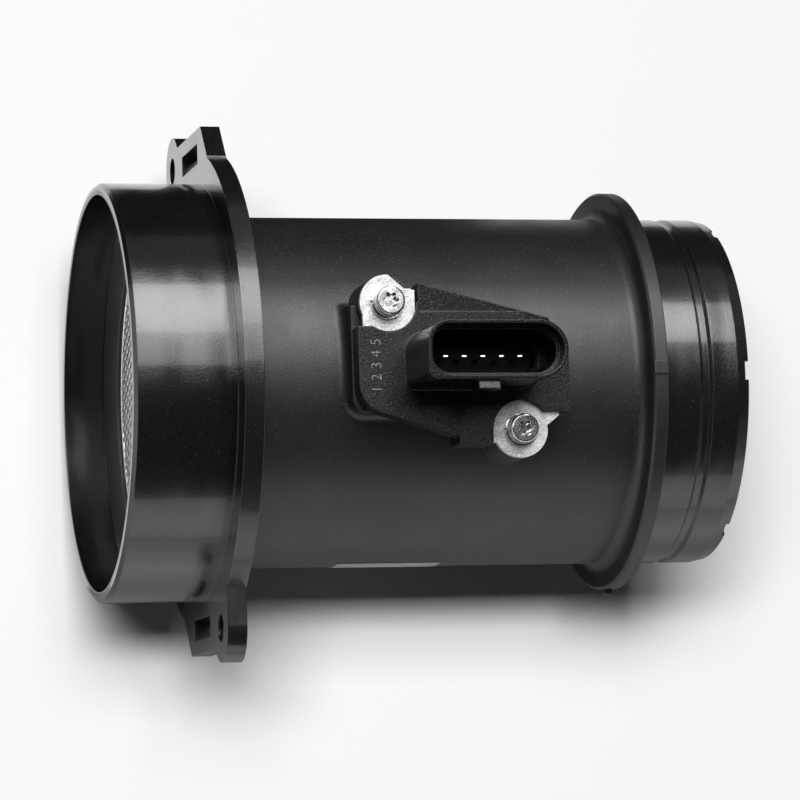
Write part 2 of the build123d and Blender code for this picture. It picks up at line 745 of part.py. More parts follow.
# ================================================================ fixings
for place, (screw_x, screw_y) in zip(("upper", "lower"), SCREWS):
    with BuildPart() as lock_washer:
        with BuildSketch(module_level(CARRIER_TOP)):
            with Locations((screw_x, screw_y)):
                Circle(WASHER_R)
                Circle(EYELET_HOLE_R, mode=Mode.SUBTRACT)
            with Locations((screw_x - WASHER_R, screw_y)):
                Rectangle(2 * WASHER_R, WASHER_SPLIT, mode=Mode.SUBTRACT)
        extrude(amount=WASHER_T)
    save(lock_washer, f"lock_washer_{place}")

    with BuildPart() as screw:
        with BuildSketch(module_level(CARRIER_TOP + WASHER_T)):
            with Locations((screw_x, screw_y)):
                Circle(HEAD_R)
        with BuildSketch(module_level(CARRIER_TOP + WASHER_T + HEAD_H)):
            with Locations((screw_x, screw_y)):
                Circle(HEAD_TOP_R)
        loft()
        fillet(screw.faces().sort_by(Axis.Z)[-1].edges(), HEAD_ROUND)
        with BuildSketch(module_level(CARRIER_Z - SCREW_LENGTH)):
            with Locations((screw_x, screw_y)):
                Circle(SHANK_R)
        extrude(amount=SCREW_LENGTH + CARRIER_T + WASHER_T)
        with BuildSketch(module_level(CARRIER_TOP + WASHER_T + HEAD_H)):
            with Locations((screw_x, screw_y)):
                Circle(RECESS_R)
                with PolarLocations(RECESS_LOBE_AT, RECESS_LOBES):
                    Circle(RECESS_LOBE_R)
        extrude(amount=-RECESS_DEPTH, mode=Mode.SUBTRACT)
    save(screw, f"screw_{place}")
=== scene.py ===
"""Dresses a packed mass airflow sensor: its mouldings, flow screen, fixings and marks, in a small studio."""

import json
import math

import bpy
from mathutils import Euler, Matrix, Vector

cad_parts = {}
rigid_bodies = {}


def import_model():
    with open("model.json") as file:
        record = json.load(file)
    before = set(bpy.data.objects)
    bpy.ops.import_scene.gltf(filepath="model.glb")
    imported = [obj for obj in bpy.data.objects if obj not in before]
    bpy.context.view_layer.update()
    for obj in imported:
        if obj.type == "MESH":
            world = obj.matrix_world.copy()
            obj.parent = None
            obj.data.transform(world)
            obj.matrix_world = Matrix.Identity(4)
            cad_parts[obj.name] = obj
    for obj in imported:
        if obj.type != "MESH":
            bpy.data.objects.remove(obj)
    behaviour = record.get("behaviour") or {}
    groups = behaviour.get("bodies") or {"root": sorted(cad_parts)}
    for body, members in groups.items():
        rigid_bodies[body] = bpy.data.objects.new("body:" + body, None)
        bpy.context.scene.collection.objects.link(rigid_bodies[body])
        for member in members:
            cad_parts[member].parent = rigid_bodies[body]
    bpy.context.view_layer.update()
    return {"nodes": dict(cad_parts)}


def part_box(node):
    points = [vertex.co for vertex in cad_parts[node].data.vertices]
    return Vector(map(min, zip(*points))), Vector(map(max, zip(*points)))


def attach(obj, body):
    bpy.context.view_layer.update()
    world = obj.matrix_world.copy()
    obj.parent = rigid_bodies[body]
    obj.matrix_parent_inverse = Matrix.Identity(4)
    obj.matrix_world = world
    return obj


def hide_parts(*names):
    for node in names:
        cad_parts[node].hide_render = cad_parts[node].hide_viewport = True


bl_info = {
    "name": "Mass Airflow Sensor",
    "version": (1, 0, 0),
    "blender": (4, 5, 0),
    "location": "3D View > Sidebar > Airflow Sensor",
    "description": "Finishes for a flow tube, its screen, its plug-in module and the screws that hold it",
    "category": "Object",
}

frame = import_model()
NODES = frame["nodes"]

MM = 0.001
BODY = "root"

# Places that the looks share with the CAD part.
TUBE_LOW, TUBE_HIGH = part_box("flow_tube")
TUBE_R = 38.0 * MM
TUBE_BORE = 36.3 * MM                  # nearer the axis than this is inside the tube
SOCKET_BORE = 43.6 * MM                # nearer the axis than this is inside the socket
SOCKET_END = 0.3 * MM                  # just past the flange's seating face
FLANGE_END = 4.3 * MM
COLLAR_START = 89.9 * MM
SPIGOT_START = COLLAR_START + 3.3 * MM
SCREEN_LOW, SCREEN_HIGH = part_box("flow_screen")
PLATE_TOP = 46.8 * MM
SHROUD_START = PLATE_TOP + 0.5 * MM    # just above the plate
SHROUD_BACK = 7.2 * MM
CAVITY_TOP = 62.6 * MM                 # where the shroud's lead-in starts
CAVITY = {"X": (49.85 * MM, 12.4 * MM), "Y": (1.0 * MM, 4.6 * MM)}    # middle and half size
BLADES = sorted(name for name in NODES if name.startswith("terminal_"))
BLADE_LOW, BLADE_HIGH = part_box(BLADES[0])
LAST_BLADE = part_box(BLADES[-1])[0]


# ---------------------------------------------------------------- node helpers

def feed(tree, socket, value):
    """Link a socket into another, or set its value."""
    if isinstance(value, bpy.types.NodeSocket):
        tree.links.new(value, socket)
    else:
        socket.default_value = value


def add(tree, kind, inputs=None, **settings):
    """Add a node, set its settings, then feed its inputs by name or number."""
    node = tree.nodes.new(kind)
    for name, value in settings.items():
        setattr(node, name, value)
    for name, value in (inputs or {}).items():
        feed(tree, node.inputs[name], value)
    return node


def calc(tree, operation, *values):
    """Add a Math node and return its result."""
    node = add(tree, "ShaderNodeMath", dict(enumerate(values)), operation=operation)
    return node.outputs[0]


def product(tree, first, *others):
    """Multiply values together."""
    for other in others:
        first = calc(tree, "MULTIPLY", first, other)
    return first


def remap(tree, value, low, high, to_low=0.0, to_high=1.0):
    """Map a value from one range to another, clamped and smoothed."""
    node = add(tree, "ShaderNodeMapRange",
               {"Value": value, "From Min": low, "From Max": high, "To Min": to_low, "To Max": to_high},
               interpolation_type="SMOOTHSTEP")
    return node.outputs["Result"]


def blend_colours(tree, factor, first, second):
    """Mix two colours and return the result."""
    node = add(tree, "ShaderNodeMix", data_type="RGBA")
    feed(tree, node.inputs[0], factor)
    feed(tree, node.inputs[6], first)
    feed(tree, node.inputs[7], second)
    return node.outputs[2]


def colour(rgb):
    """Give a colour property the fourth value that a socket wants."""
    return (*rgb, 1.0)


def noise(tree, position, per_metre, detail=2.0, roughness=0.5):
    """Add a noise pattern with so many bumps to the metre."""
    node = add(tree, "ShaderNodeTexNoise",
               {"Vector": position, "Scale": per_metre, "Detail": detail, "Roughness": roughness})
    return node.outputs["Fac"]


def spread(tree):
    """Set the nodes out in columns, each to the right of what feeds it."""
    depth = {node: 0 for node in tree.nodes}
    for _ in tree.nodes:
        for link in tree.links:
            depth[link.to_node] = max(depth[link.to_node], depth[link.from_node] + 1)
    rows = {}
    for node in tree.nodes:
        row = rows.setdefault(depth[node], 0)
        node.location = (depth[node] * 220, -row * 190)
        rows[depth[node]] += 1


# ---------------------------------------------------------------- shared shader groups

def start_group(name, inputs, outputs):
    """Open a shader node group with named sockets; return the tree, its inputs and its output node."""
    tree = bpy.data.node_groups.new(name, "ShaderNodeTree")
    for socket, kind, default in inputs:
        made = tree.interface.new_socket(socket, in_out="INPUT", socket_type=kind)
        made.default_value = default
    for socket, kind in outputs:
        tree.interface.new_socket(socket, in_out="OUTPUT", socket_type=kind)
    return tree, tree.nodes.new("NodeGroupInput").outputs, tree.nodes.new("NodeGroupOutput").inputs


def object_position(tree):
    """Give the place on the surface, measured from the part's origin."""
    return tree.nodes.new("ShaderNodeTexCoord").outputs["Object"]


def split(tree, vector):
    """Give the X, Y and Z of a vector."""
    return add(tree, "ShaderNodeSeparateXYZ", {0: vector}).outputs


def moulded_grain_group():
    """Fine relief over a slight waviness, and the pale glass flecks of a filled moulding."""
    tree, given, result = start_group(
        "Moulded Grain",
        [("Grain Size", "NodeSocketFloat", 0.35), ("Fleck Size", "NodeSocketFloat", 0.25),
         ("Fleck Share", "NodeSocketFloat", 0.3), ("Wave", "NodeSocketFloat", 0.0)],
        [("Height", "NodeSocketFloat"), ("Fleck", "NodeSocketFloat"), ("Cloud", "NodeSocketFloat")])
    position = object_position(tree)
    grain = noise(tree, position, calc(tree, "DIVIDE", 1000.0, given["Grain Size"]), 3.0, 0.6)
    long = add(tree, "ShaderNodeMapping", {"Vector": position, "Scale": (110.0, 35.0, 35.0)}).outputs[0]
    wave = product(tree, noise(tree, long, 1.0, 1.0, 0.5), given["Wave"])
    feed(tree, result["Height"], calc(tree, "ADD", grain, wave))
    fleck = noise(tree, position, calc(tree, "DIVIDE", 1000.0, given["Fleck Size"]), 1.0, 0.5)
    threshold = calc(tree, "SUBTRACT", 0.78, product(tree, given["Fleck Share"], 0.3))
    feed(tree, result["Fleck"], remap(tree, fleck, threshold, calc(tree, "ADD", threshold, 0.1)))
    feed(tree, result["Cloud"], noise(tree, position, 90.0, 4.0, 0.6))
    spread(tree)
    return tree


def edge_wear_and_highlight_group():
    """A rounded edge for the light to catch, and a broken mask along it that paints the edge lighter, partly
    as rubbed wear and partly as a painted highlight.
    """
    tree, given, result = start_group(
        "Edge Wear And Highlight",
        [("Radius", "NodeSocketFloat", 0.0003), ("Wear", "NodeSocketFloat", 0.5)],
        [("Normal", "NodeSocketVector"), ("Edge", "NodeSocketFloat")])
    bevel = add(tree, "ShaderNodeBevel", {"Radius": given["Radius"]}, samples=6)
    surface = tree.nodes.new("ShaderNodeNewGeometry").outputs["Normal"]
    closeness = add(tree, "ShaderNodeVectorMath", {0: bevel.outputs[0], 1: surface},
                    operation="DOT_PRODUCT").outputs["Value"]
    turned = remap(tree, closeness, 0.995, 0.80)
    broken = remap(tree, noise(tree, object_position(tree), 1400.0, 3.0, 0.65), 0.35, 0.7, 0.35, 1.0)
    feed(tree, result["Edge"], product(tree, turned, broken, given["Wear"]))
    feed(tree, result["Normal"], bevel.outputs[0])
    spread(tree)
    return tree


def dust_group():
    """Sparse pale specks that have settled on a surface."""
    tree, given, result = start_group(
        "Dust Specks",
        [("Spacing", "NodeSocketFloat", 2.2), ("Amount", "NodeSocketFloat", 0.5)],
        [("Speck", "NodeSocketFloat")])
    cells = add(tree, "ShaderNodeTexVoronoi",
                {"Vector": object_position(tree), "Scale": calc(tree, "DIVIDE", 1000.0, given["Spacing"])})
    chosen = add(tree, "ShaderNodeSeparateColor", {"Color": cells.outputs["Color"]})
    reach = product(tree, chosen.outputs["Green"], 0.075)
    spot = remap(tree, cells.outputs["Distance"], reach, product(tree, reach, 0.45))
    kept = calc(tree, "LESS_THAN", chosen.outputs["Red"], given["Amount"])
    feed(tree, result["Speck"], product(tree, spot, kept))
    spread(tree)
    return tree


def plated_grain_group():
    """The mottled, lightly scratched surface of zinc-plated steel."""
    tree, given, result = start_group(
        "Plated Grain",
        [("Grain Size", "NodeSocketFloat", 0.5), ("Scratches", "NodeSocketFloat", 0.5)],
        [("Tone", "NodeSocketFloat"), ("Height", "NodeSocketFloat")])
    position = object_position(tree)
    per_metre = calc(tree, "DIVIDE", 1000.0, given["Grain Size"])
    mottle = noise(tree, position, per_metre, 3.0, 0.7)
    coarse = noise(tree, position, product(tree, per_metre, 0.22), 2.0, 0.5)
    drawn = add(tree, "ShaderNodeMapping", {"Vector": position, "Rotation": (0.0, 0.0, 0.6),
                                            "Scale": (6000.0, 350.0, 350.0)}).outputs[0]
    scratch = remap(tree, noise(tree, drawn, 1.0, 2.0, 0.6), 0.62, 0.75)
    scratch = product(tree, scratch, given["Scratches"])
    tone = calc(tree, "ADD", product(tree, mottle, 0.7), product(tree, coarse, 0.3))
    feed(tree, result["Tone"], tone)
    feed(tree, result["Height"], calc(tree, "SUBTRACT", mottle, scratch))
    spread(tree)
    return tree


GROUP_MAKERS = {
    "Moulded Grain": moulded_grain_group,
    "Edge Wear And Highlight": edge_wear_and_highlight_group,
    "Dust Specks": dust_group,
    "Plated Grain": plated_grain_group,
}


def place_group(tree, name, **values):
    """Place a shared group in a material with its own values, making the group the first time."""
    group = bpy.data.node_groups.get(name) or GROUP_MAKERS[name]()
    node = add(tree, "ShaderNodeGroup", node_tree=group)
    for socket, value in values.items():
        feed(tree, node.inputs[socket.replace("_", " ")], value)
    return node.outputs


def group_inputs(tree, name):
    """Find the inputs of a shared group that a material already holds."""
    return next(node for node in tree.nodes if node.type == "GROUP" and node.node_tree.name == name).inputs


# ---------------------------------------------------------------- materials

BLACK = (0.002, 0.002, 0.002, 1.0)
# Painted shade inside the tube's bore.
BORE_SHADE = (0.003, 0.003, 0.003, 1.0)
# Painted shade in the module's cavity.
CAVITY_SHADE = (0.0, 0.0, 0.0, 1.0)
DUST_GREY = (0.25, 0.245, 0.24, 1.0)
FLANGE_SMOOTHNESS = 0.7        # with the socket's as 1
SPIGOT_SMOOTHNESS = 0.8
BODY_WAVE = 4.0                # how deep the waviness is, with the grain's depth as 1
SOCKET_WAVE = 26.0
SOCKET_COAT = 0.6
LINE_WEIGHT = 0.7              # how black the parting line is


def start_material(name):
    """Make a material and return it with its tree and its Principled shader."""
    material = bpy.data.materials.new(name)
    material.use_nodes = True
    tree = material.node_tree
    tree.nodes.clear()
    shader = tree.nodes.new("ShaderNodeBsdfPrincipled")
    output = tree.nodes.new("ShaderNodeOutputMaterial")
    tree.links.new(shader.outputs[0], output.inputs["Surface"])
    return material, tree, shader


def relief(tree, height, distance, normal=None):
    """Turn a height into a normal, over the rounded edges when they are given."""
    node = add(tree, "ShaderNodeBump", {"Height": height, "Distance": distance})
    if normal is not None:
        feed(tree, node.inputs["Normal"], normal)
    return node.outputs[0]


def moulded_black(name, finish, base, roughness, grain_size, grain_depth, edge_radius, wear_and_highlight,
                  flecks=0.3, dust=0.25, ior=1.6):
    """Black filled plastic: grain, flecks, rounded edges painted lighter as rubbed wear and a painted
    highlight, dust.

    The grain's size is in millimetres, its depth and the edges' radius in metres.
    """
    material, tree, shader = start_material(name)
    grain = place_group(tree, "Moulded Grain", Grain_Size=grain_size, Fleck_Size=grain_size * 0.8,
                        Fleck_Share=flecks)
    edges = place_group(tree, "Edge Wear And Highlight", Radius=edge_radius, Wear=wear_and_highlight)
    specks = place_group(tree, "Dust Specks", Amount=dust)
    rough = calc(tree, "ADD", remap(tree, grain["Cloud"], 0.3, 0.7, -0.03, 0.03), roughness)
    rough = calc(tree, "ADD", rough, product(tree, grain["Fleck"], -0.06))
    tone = blend_colours(tree, product(tree, grain["Fleck"], 0.6), colour(base), colour(finish.fleck_colour))
    # The edges are painted towards a paler colour: rubbed wear and a painted highlight.
    tone = blend_colours(tree, edges["Edge"], tone, colour(finish.edge_wear_and_highlight_colour))
    tone = blend_colours(tree, specks["Speck"], tone, DUST_GREY)
    feed(tree, shader.inputs["Base Color"], tone)
    feed(tree, shader.inputs["Roughness"], rough)
    feed(tree, shader.inputs["Normal"], relief(tree, grain["Height"], grain_depth, edges["Normal"]))
    shader.inputs["IOR"].default_value = ior
    shader.inputs["Coat Roughness"].default_value = 0.1
    return material, tree, shader, rough, tone


def tube_black(finish):
    """The flow tube: satin body, smoother socket, flange face and spigot, painted shade in the bore, a
    parting line.
    """
    material, tree, shader, rough, tone = moulded_black(
        "tube_black", finish, finish.tube_colour, finish.tube_roughness, grain_size=0.42,
        grain_depth=0.04 * MM, edge_radius=0.35 * MM, wear_and_highlight=0.5, flecks=0.4, dust=0.1)
    place = split(tree, object_position(tree))
    along, across, up = (place[axis] for axis in "XYZ")
    radius = calc(tree, "SQRT", calc(tree, "ADD", product(tree, across, across), product(tree, up, up)))
    before = calc(tree, "LESS_THAN", along, -SOCKET_END)
    wall = calc(tree, "MULTIPLY_ADD", before, SOCKET_BORE - TUBE_BORE, TUBE_BORE)
    bore = calc(tree, "LESS_THAN", radius, wall)

    socket = calc(tree, "LESS_THAN", along, SOCKET_END)
    flange = product(tree, calc(tree, "LESS_THAN", along, FLANGE_END), FLANGE_SMOOTHNESS)
    spigot = product(tree, calc(tree, "GREATER_THAN", along, SPIGOT_START), SPIGOT_SMOOTHNESS)
    smooth = calc(tree, "MAXIMUM", calc(tree, "MAXIMUM", socket, flange), spigot)
    eased = product(tree, smooth, finish.tube_roughness - finish.socket_roughness)
    feed(tree, shader.inputs["Roughness"], calc(tree, "SUBTRACT", rough, eased))
    wave = calc(tree, "MULTIPLY_ADD", smooth, SOCKET_WAVE - BODY_WAVE, BODY_WAVE)
    feed(tree, group_inputs(tree, "Moulded Grain")["Wave"], wave)
    outside = calc(tree, "SUBTRACT", 1.0, bore)
    feed(tree, shader.inputs["Coat Weight"], product(tree, smooth, outside, SOCKET_COAT))

    deeper = [in_socket / max(on_tube, 0.001)
              for in_socket, on_tube in zip(finish.socket_colour, finish.tube_colour)]
    darker = add(tree, "ShaderNodeMix", {0: smooth, 6: tone, 7: colour(deeper)}, data_type="RGBA",
                 blend_type="MULTIPLY").outputs[2]
    # Painted shade: the bore is painted near black.
    darker = blend_colours(tree, bore, darker, BORE_SHADE)
    half = finish.parting_width / 2
    line = remap(tree, calc(tree, "ABSOLUTE", across), half * 0.5, half * 1.5, 1.0, 0.0)
    line = product(tree, line, LINE_WEIGHT)
    feed(tree, shader.inputs["Base Color"], blend_colours(tree, line, darker, BLACK))
    spread(tree)
    return material


def plain_moulding(name, finish, base, roughness, grain_depth, edge_radius=0.25 * MM, wear_and_highlight=0.5):
    """A small moulding, all of it in one colour and finish."""
    material, tree, *_ = moulded_black(name, finish, base, roughness, grain_size=0.4,
                                       grain_depth=grain_depth, edge_radius=edge_radius, wear_and_highlight=wear_and_highlight, ior=1.5)
    spread(tree)
    return material


def module_black(finish):
    """The module: a speckled plate, a smoother plug shroud and a dull cavity in it, painted black as painted
    shade.
    """
    material, tree, shader, rough, tone = moulded_black(
        "module_black", finish, finish.module_colour, finish.module_roughness, grain_size=0.45,
        grain_depth=0.08 * MM, edge_radius=0.45 * MM, wear_and_highlight=1.0, flecks=0.6, ior=1.42)
    place = split(tree, object_position(tree))
    above = calc(tree, "GREATER_THAN", place["Z"], SHROUD_START)
    cavity = product(tree, above, calc(tree, "LESS_THAN", place["Z"], CAVITY_TOP))
    for axis, (middle, reach) in CAVITY.items():
        offset = calc(tree, "ABSOLUTE", calc(tree, "SUBTRACT", place[axis], middle))
        cavity = product(tree, cavity, calc(tree, "LESS_THAN", offset, reach))
    shroud = product(tree, above, calc(tree, "LESS_THAN", place["Y"], SHROUD_BACK))
    eased = product(tree, shroud, finish.module_roughness - finish.shroud_roughness)
    rough = calc(tree, "MULTIPLY_ADD", cavity, 0.5, calc(tree, "SUBTRACT", rough, eased))
    feed(tree, shader.inputs["Roughness"], rough)
    # The shroud's colour is blended 70% towards black.
    shroud_darkened = blend_colours(tree, product(tree, shroud, 0.7), tone, BLACK)
    # Painted shade: the cavity is painted black.
    feed(tree, shader.inputs["Base Color"], blend_colours(tree, cavity, shroud_darkened, CAVITY_SHADE))
    spread(tree)
    return material


def plated_steel(name, base, roughness, grain_size, scratches, depth, edge_radius):
    """Zinc-plated steel with a mottled grain, its size in millimetres and its depth in metres."""
    material, tree, shader = start_material(name)
    plating = place_group(tree, "Plated Grain", Grain_Size=grain_size, Scratches=scratches)
    edges = place_group(tree, "Edge Wear And Highlight", Radius=edge_radius, Wear=0.4)
    dark = [channel * 0.55 for channel in base]
    tone = blend_colours(tree, remap(tree, plating["Tone"], 0.36, 0.60), colour(dark), colour(base))
    # The edges are painted pale: rubbed wear and a painted highlight.
    tone = blend_colours(tree, edges["Edge"], tone, (0.92, 0.92, 0.93, 1.0))
    feed(tree, shader.inputs["Base Color"], tone)
    feed(tree, shader.inputs["Roughness"],
         remap(tree, plating["Tone"], 0.3, 0.7, roughness + 0.1, roughness - 0.06))
    feed(tree, shader.inputs["Normal"], relief(tree, plating["Height"], depth, edges["Normal"]))
    shader.inputs["Metallic"].default_value = 1.0
    spread(tree)
    return material


def bright_screen(finish):
    """Bright rolled strand metal."""
    material, tree, shader = start_material("screen_bright")
    plating = place_group(tree, "Plated Grain", Grain_Size=0.6, Scratches=0.2)
    dark = [channel * 0.75 for channel in finish.screen_colour]
    feed(tree, shader.inputs["Base Color"],
         blend_colours(tree, plating["Tone"], colour(dark), colour(finish.screen_colour)))
    feed(tree, shader.inputs["Roughness"], remap(tree, plating["Tone"], 0.3, 0.7, 0.5, 0.36))
    shader.inputs["Metallic"].default_value = 1.0
    spread(tree)
    return material


def tinned_blade(finish):
    """Bright tin with faint drawn lines along the blade."""
    material, tree, shader = start_material("blade_tin")
    lengthwise = add(tree, "ShaderNodeMapping",
                     {"Vector": object_position(tree), "Scale": (9000.0, 9000.0, 220.0)}).outputs[0]
    drawn = noise(tree, lengthwise, 1.0, 2.0, 0.5)
    edges = place_group(tree, "Edge Wear And Highlight", Radius=0.12 * MM, Wear=0.3)
    feed(tree, shader.inputs["Base Color"],
         blend_colours(tree, drawn, (0.62, 0.62, 0.63, 1.0), colour(finish.blade_colour)))
    feed(tree, shader.inputs["Roughness"], remap(tree, drawn, 0.3, 0.7, 0.18, 0.32))
    feed(tree, shader.inputs["Normal"], relief(tree, drawn, 0.004 * MM, edges["Normal"]))
    shader.inputs["Metallic"].default_value = 1.0
    spread(tree)
    return material


def seal_rubber():
    """Smooth rubber with a dusting bloom."""
    material, tree, shader = start_material("seal_rubber_finish")
    grain = place_group(tree, "Moulded Grain", Grain_Size=0.5, Fleck_Size=0.3)
    feed(tree, shader.inputs["Base Color"],
         blend_colours(tree, remap(tree, grain["Cloud"], 0.4, 0.7, 0.0, 0.5), (0.008, 0.008, 0.008, 1.0),
                       (0.03, 0.03, 0.03, 1.0)))
    feed(tree, shader.inputs["Roughness"], remap(tree, grain["Cloud"], 0.3, 0.7, 0.42, 0.6))
    feed(tree, shader.inputs["Normal"], relief(tree, grain["Height"], 0.01 * MM))
    spread(tree)
    return material


def board_green():
    """Coated laminate: woven glass under the lacquer."""
    material, tree, shader = start_material("board_green")
    position = object_position(tree)
    warp, weft = (add(tree, "ShaderNodeTexWave", {"Vector": position, "Scale": 320.0, "Distortion": 1.5},
                      bands_direction=axis).outputs["Fac"] for axis in "XZ")
    cloth = product(tree, warp, weft)
    feed(tree, shader.inputs["Base Color"],
         blend_colours(tree, cloth, (0.012, 0.085, 0.04, 1.0), (0.03, 0.15, 0.075, 1.0)))
    feed(tree, shader.inputs["Roughness"], remap(tree, cloth, 0.0, 1.0, 0.25, 0.38))
    feed(tree, shader.inputs["Normal"], relief(tree, cloth, 0.01 * MM))
    spread(tree)
    return material


def fired_ceramic():
    """Pale fired ceramic with a fine speckle."""
    material, tree, shader = start_material("chip_ceramic_finish")
    grain = place_group(tree, "Moulded Grain", Grain_Size=0.12, Fleck_Size=0.1)
    feed(tree, shader.inputs["Base Color"],
         blend_colours(tree, grain["Height"], (0.62, 0.61, 0.58, 1.0), (0.82, 0.81, 0.78, 1.0)))
    feed(tree, shader.inputs["Roughness"], remap(tree, grain["Height"], 0.3, 0.7, 0.35, 0.5))
    feed(tree, shader.inputs["Normal"], relief(tree, grain["Height"], 0.005 * MM))
    spread(tree)
    return material


def dipped_resin():
    """Dark dipped resin with a glossy skin."""
    material, tree, shader = start_material("bead_resin_finish")
    grain = place_group(tree, "Moulded Grain", Grain_Size=0.4, Fleck_Size=0.2)
    feed(tree, shader.inputs["Base Color"],
         blend_colours(tree, grain["Cloud"], (0.02, 0.011, 0.006, 1.0), (0.06, 0.03, 0.014, 1.0)))
    feed(tree, shader.inputs["Roughness"], remap(tree, grain["Height"], 0.3, 0.7, 0.12, 0.2))
    feed(tree, shader.inputs["Normal"], relief(tree, grain["Height"], 0.01 * MM))
    spread(tree)
    return material


# ---------------------------------------------------------------- mesh helpers

def keep_mesh(name, mesh, material=None, replaced=()):
    """Put a finished mesh in the scene, on the body."""
    piece = bpy.data.objects.new(name, mesh)
    bpy.context.scene.collection.objects.link(piece)
    if material:
        mesh.materials.clear()
        mesh.materials.append(material)
    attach(piece, BODY)
    for node in replaced:
        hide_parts(node)
    return piece


def dress(material, *names):
    """Give CAD nodes their material."""
    for name in names:
        for slot in NODES[name].material_slots:
            slot.material = material


def bake(name, tree, values, transform=None):
    """Run a geometry tree on an empty mesh with named values and return the plain mesh it makes."""
    carrier = bpy.data.objects.new(name, bpy.data.meshes.new(name))
    bpy.context.scene.collection.objects.link(carrier)
    modifier = carrier.modifiers.new(name, "NODES")
    modifier.node_group = tree
    sockets = {item.name: item.identifier for item in tree.interface.items_tree
               if item.item_type == "SOCKET" and item.in_out == "INPUT"}
    for label, value in values.items():
        modifier[sockets[label]] = value
    bpy.context.view_layer.update()
    made = bpy.data.meshes.new_from_object(carrier.evaluated_get(bpy.context.evaluated_depsgraph_get()))
    bpy.data.objects.remove(carrier)
    if not made.polygons:
        raise RuntimeError(f"{name} came out empty")
    if transform:
        made.transform(transform)
    return made


def start_geometry(name, inputs):
    """Open a geometry tree with named inputs; return the tree, its inputs and the socket of its result."""
    tree = bpy.data.node_groups.new(name, "GeometryNodeTree")
    tree.interface.new_socket("Geometry", in_out="INPUT", socket_type="NodeSocketGeometry")
    for label, kind in inputs:
        tree.interface.new_socket(label, in_out="INPUT", socket_type=kind)
    tree.interface.new_socket("Geometry", in_out="OUTPUT", socket_type="NodeSocketGeometry")
    return tree, tree.nodes.new("NodeGroupInput").outputs, tree.nodes.new("NodeGroupOutput").inputs[0]


def finish_geometry(tree, geometry, material, result):
    """End a geometry tree in Realize Instances and Set Material."""
    real = add(tree, "GeometryNodeRealizeInstances", {0: geometry}).outputs[0]
    painted = add(tree, "GeometryNodeSetMaterial", {"Geometry": real, "Material": material})
    feed(tree, result, painted.outputs[0])
    spread(tree)
    return tree


# ---------------------------------------------------------------- flow screen

SHEET_GRIP = 1.4 * MM          # how far the sheet runs into its rim
RIM_CLEARANCE = 0.1 * MM       # between the rim and the tube
RIM_SHARE = 0.75               # how much of the screen's thickness the rim takes
RIM_STEPS = 160
BOND_SHARE = 0.16              # how much of each half diamond runs level, at both ends
STEPS_PER_DIAMOND = 8


def point(tree, x=0.0, y=0.0, z=0.0):
    """Join three values into a vector."""
    return add(tree, "ShaderNodeCombineXYZ", {0: x, 1: y, 2: z}).outputs[0]


def strand_line(tree, radius, long_pitch):
    """A line across the sheet, resampled so that each diamond's corners and bonds have points."""
    start = point(tree, product(tree, radius, -1.0))
    line = add(tree, "GeometryNodeCurvePrimitiveLine",
               {"Start": start, "End": point(tree, radius)}).outputs["Curve"]
    diamonds = calc(tree, "DIVIDE", product(tree, radius, 2.0), long_pitch)
    count = calc(tree, "MULTIPLY_ADD", diamonds, STEPS_PER_DIAMOND, 1.0)
    return add(tree, "GeometryNodeResampleCurve", {"Curve": line, "Count": count}).outputs[0]


def flat_rim(tree, given):
    """The flat hoop round the sheet, its edges slightly rounded."""
    inner, outer = given["Rim Inner Radius"], given["Rim Outer Radius"]
    middle = calc(tree, "DIVIDE", calc(tree, "ADD", inner, outer), 2.0)
    hoop = add(tree, "GeometryNodeCurvePrimitiveCircle",
               {"Resolution": RIM_STEPS, "Radius": middle}).outputs[0]
    flat = add(tree, "GeometryNodeCurvePrimitiveQuadrilateral",
               {"Width": calc(tree, "SUBTRACT", outer, inner), "Height": given["Rim Thickness"]}).outputs[0]
    soft = add(tree, "GeometryNodeFilletCurve",
               {"Curve": flat, "Radius": product(tree, given["Rim Thickness"], 0.45), "Count": 3},
               mode="POLY").outputs[0]
    return add(tree, "GeometryNodeCurveToMesh", {"Curve": hoop, "Profile Curve": soft}).outputs[0]


def join(tree, *parts):
    """Join meshes."""
    node = tree.nodes.new("GeometryNodeJoinGeometry")
    for part in parts:
        tree.links.new(part, node.inputs[0])
    return node.outputs[0]


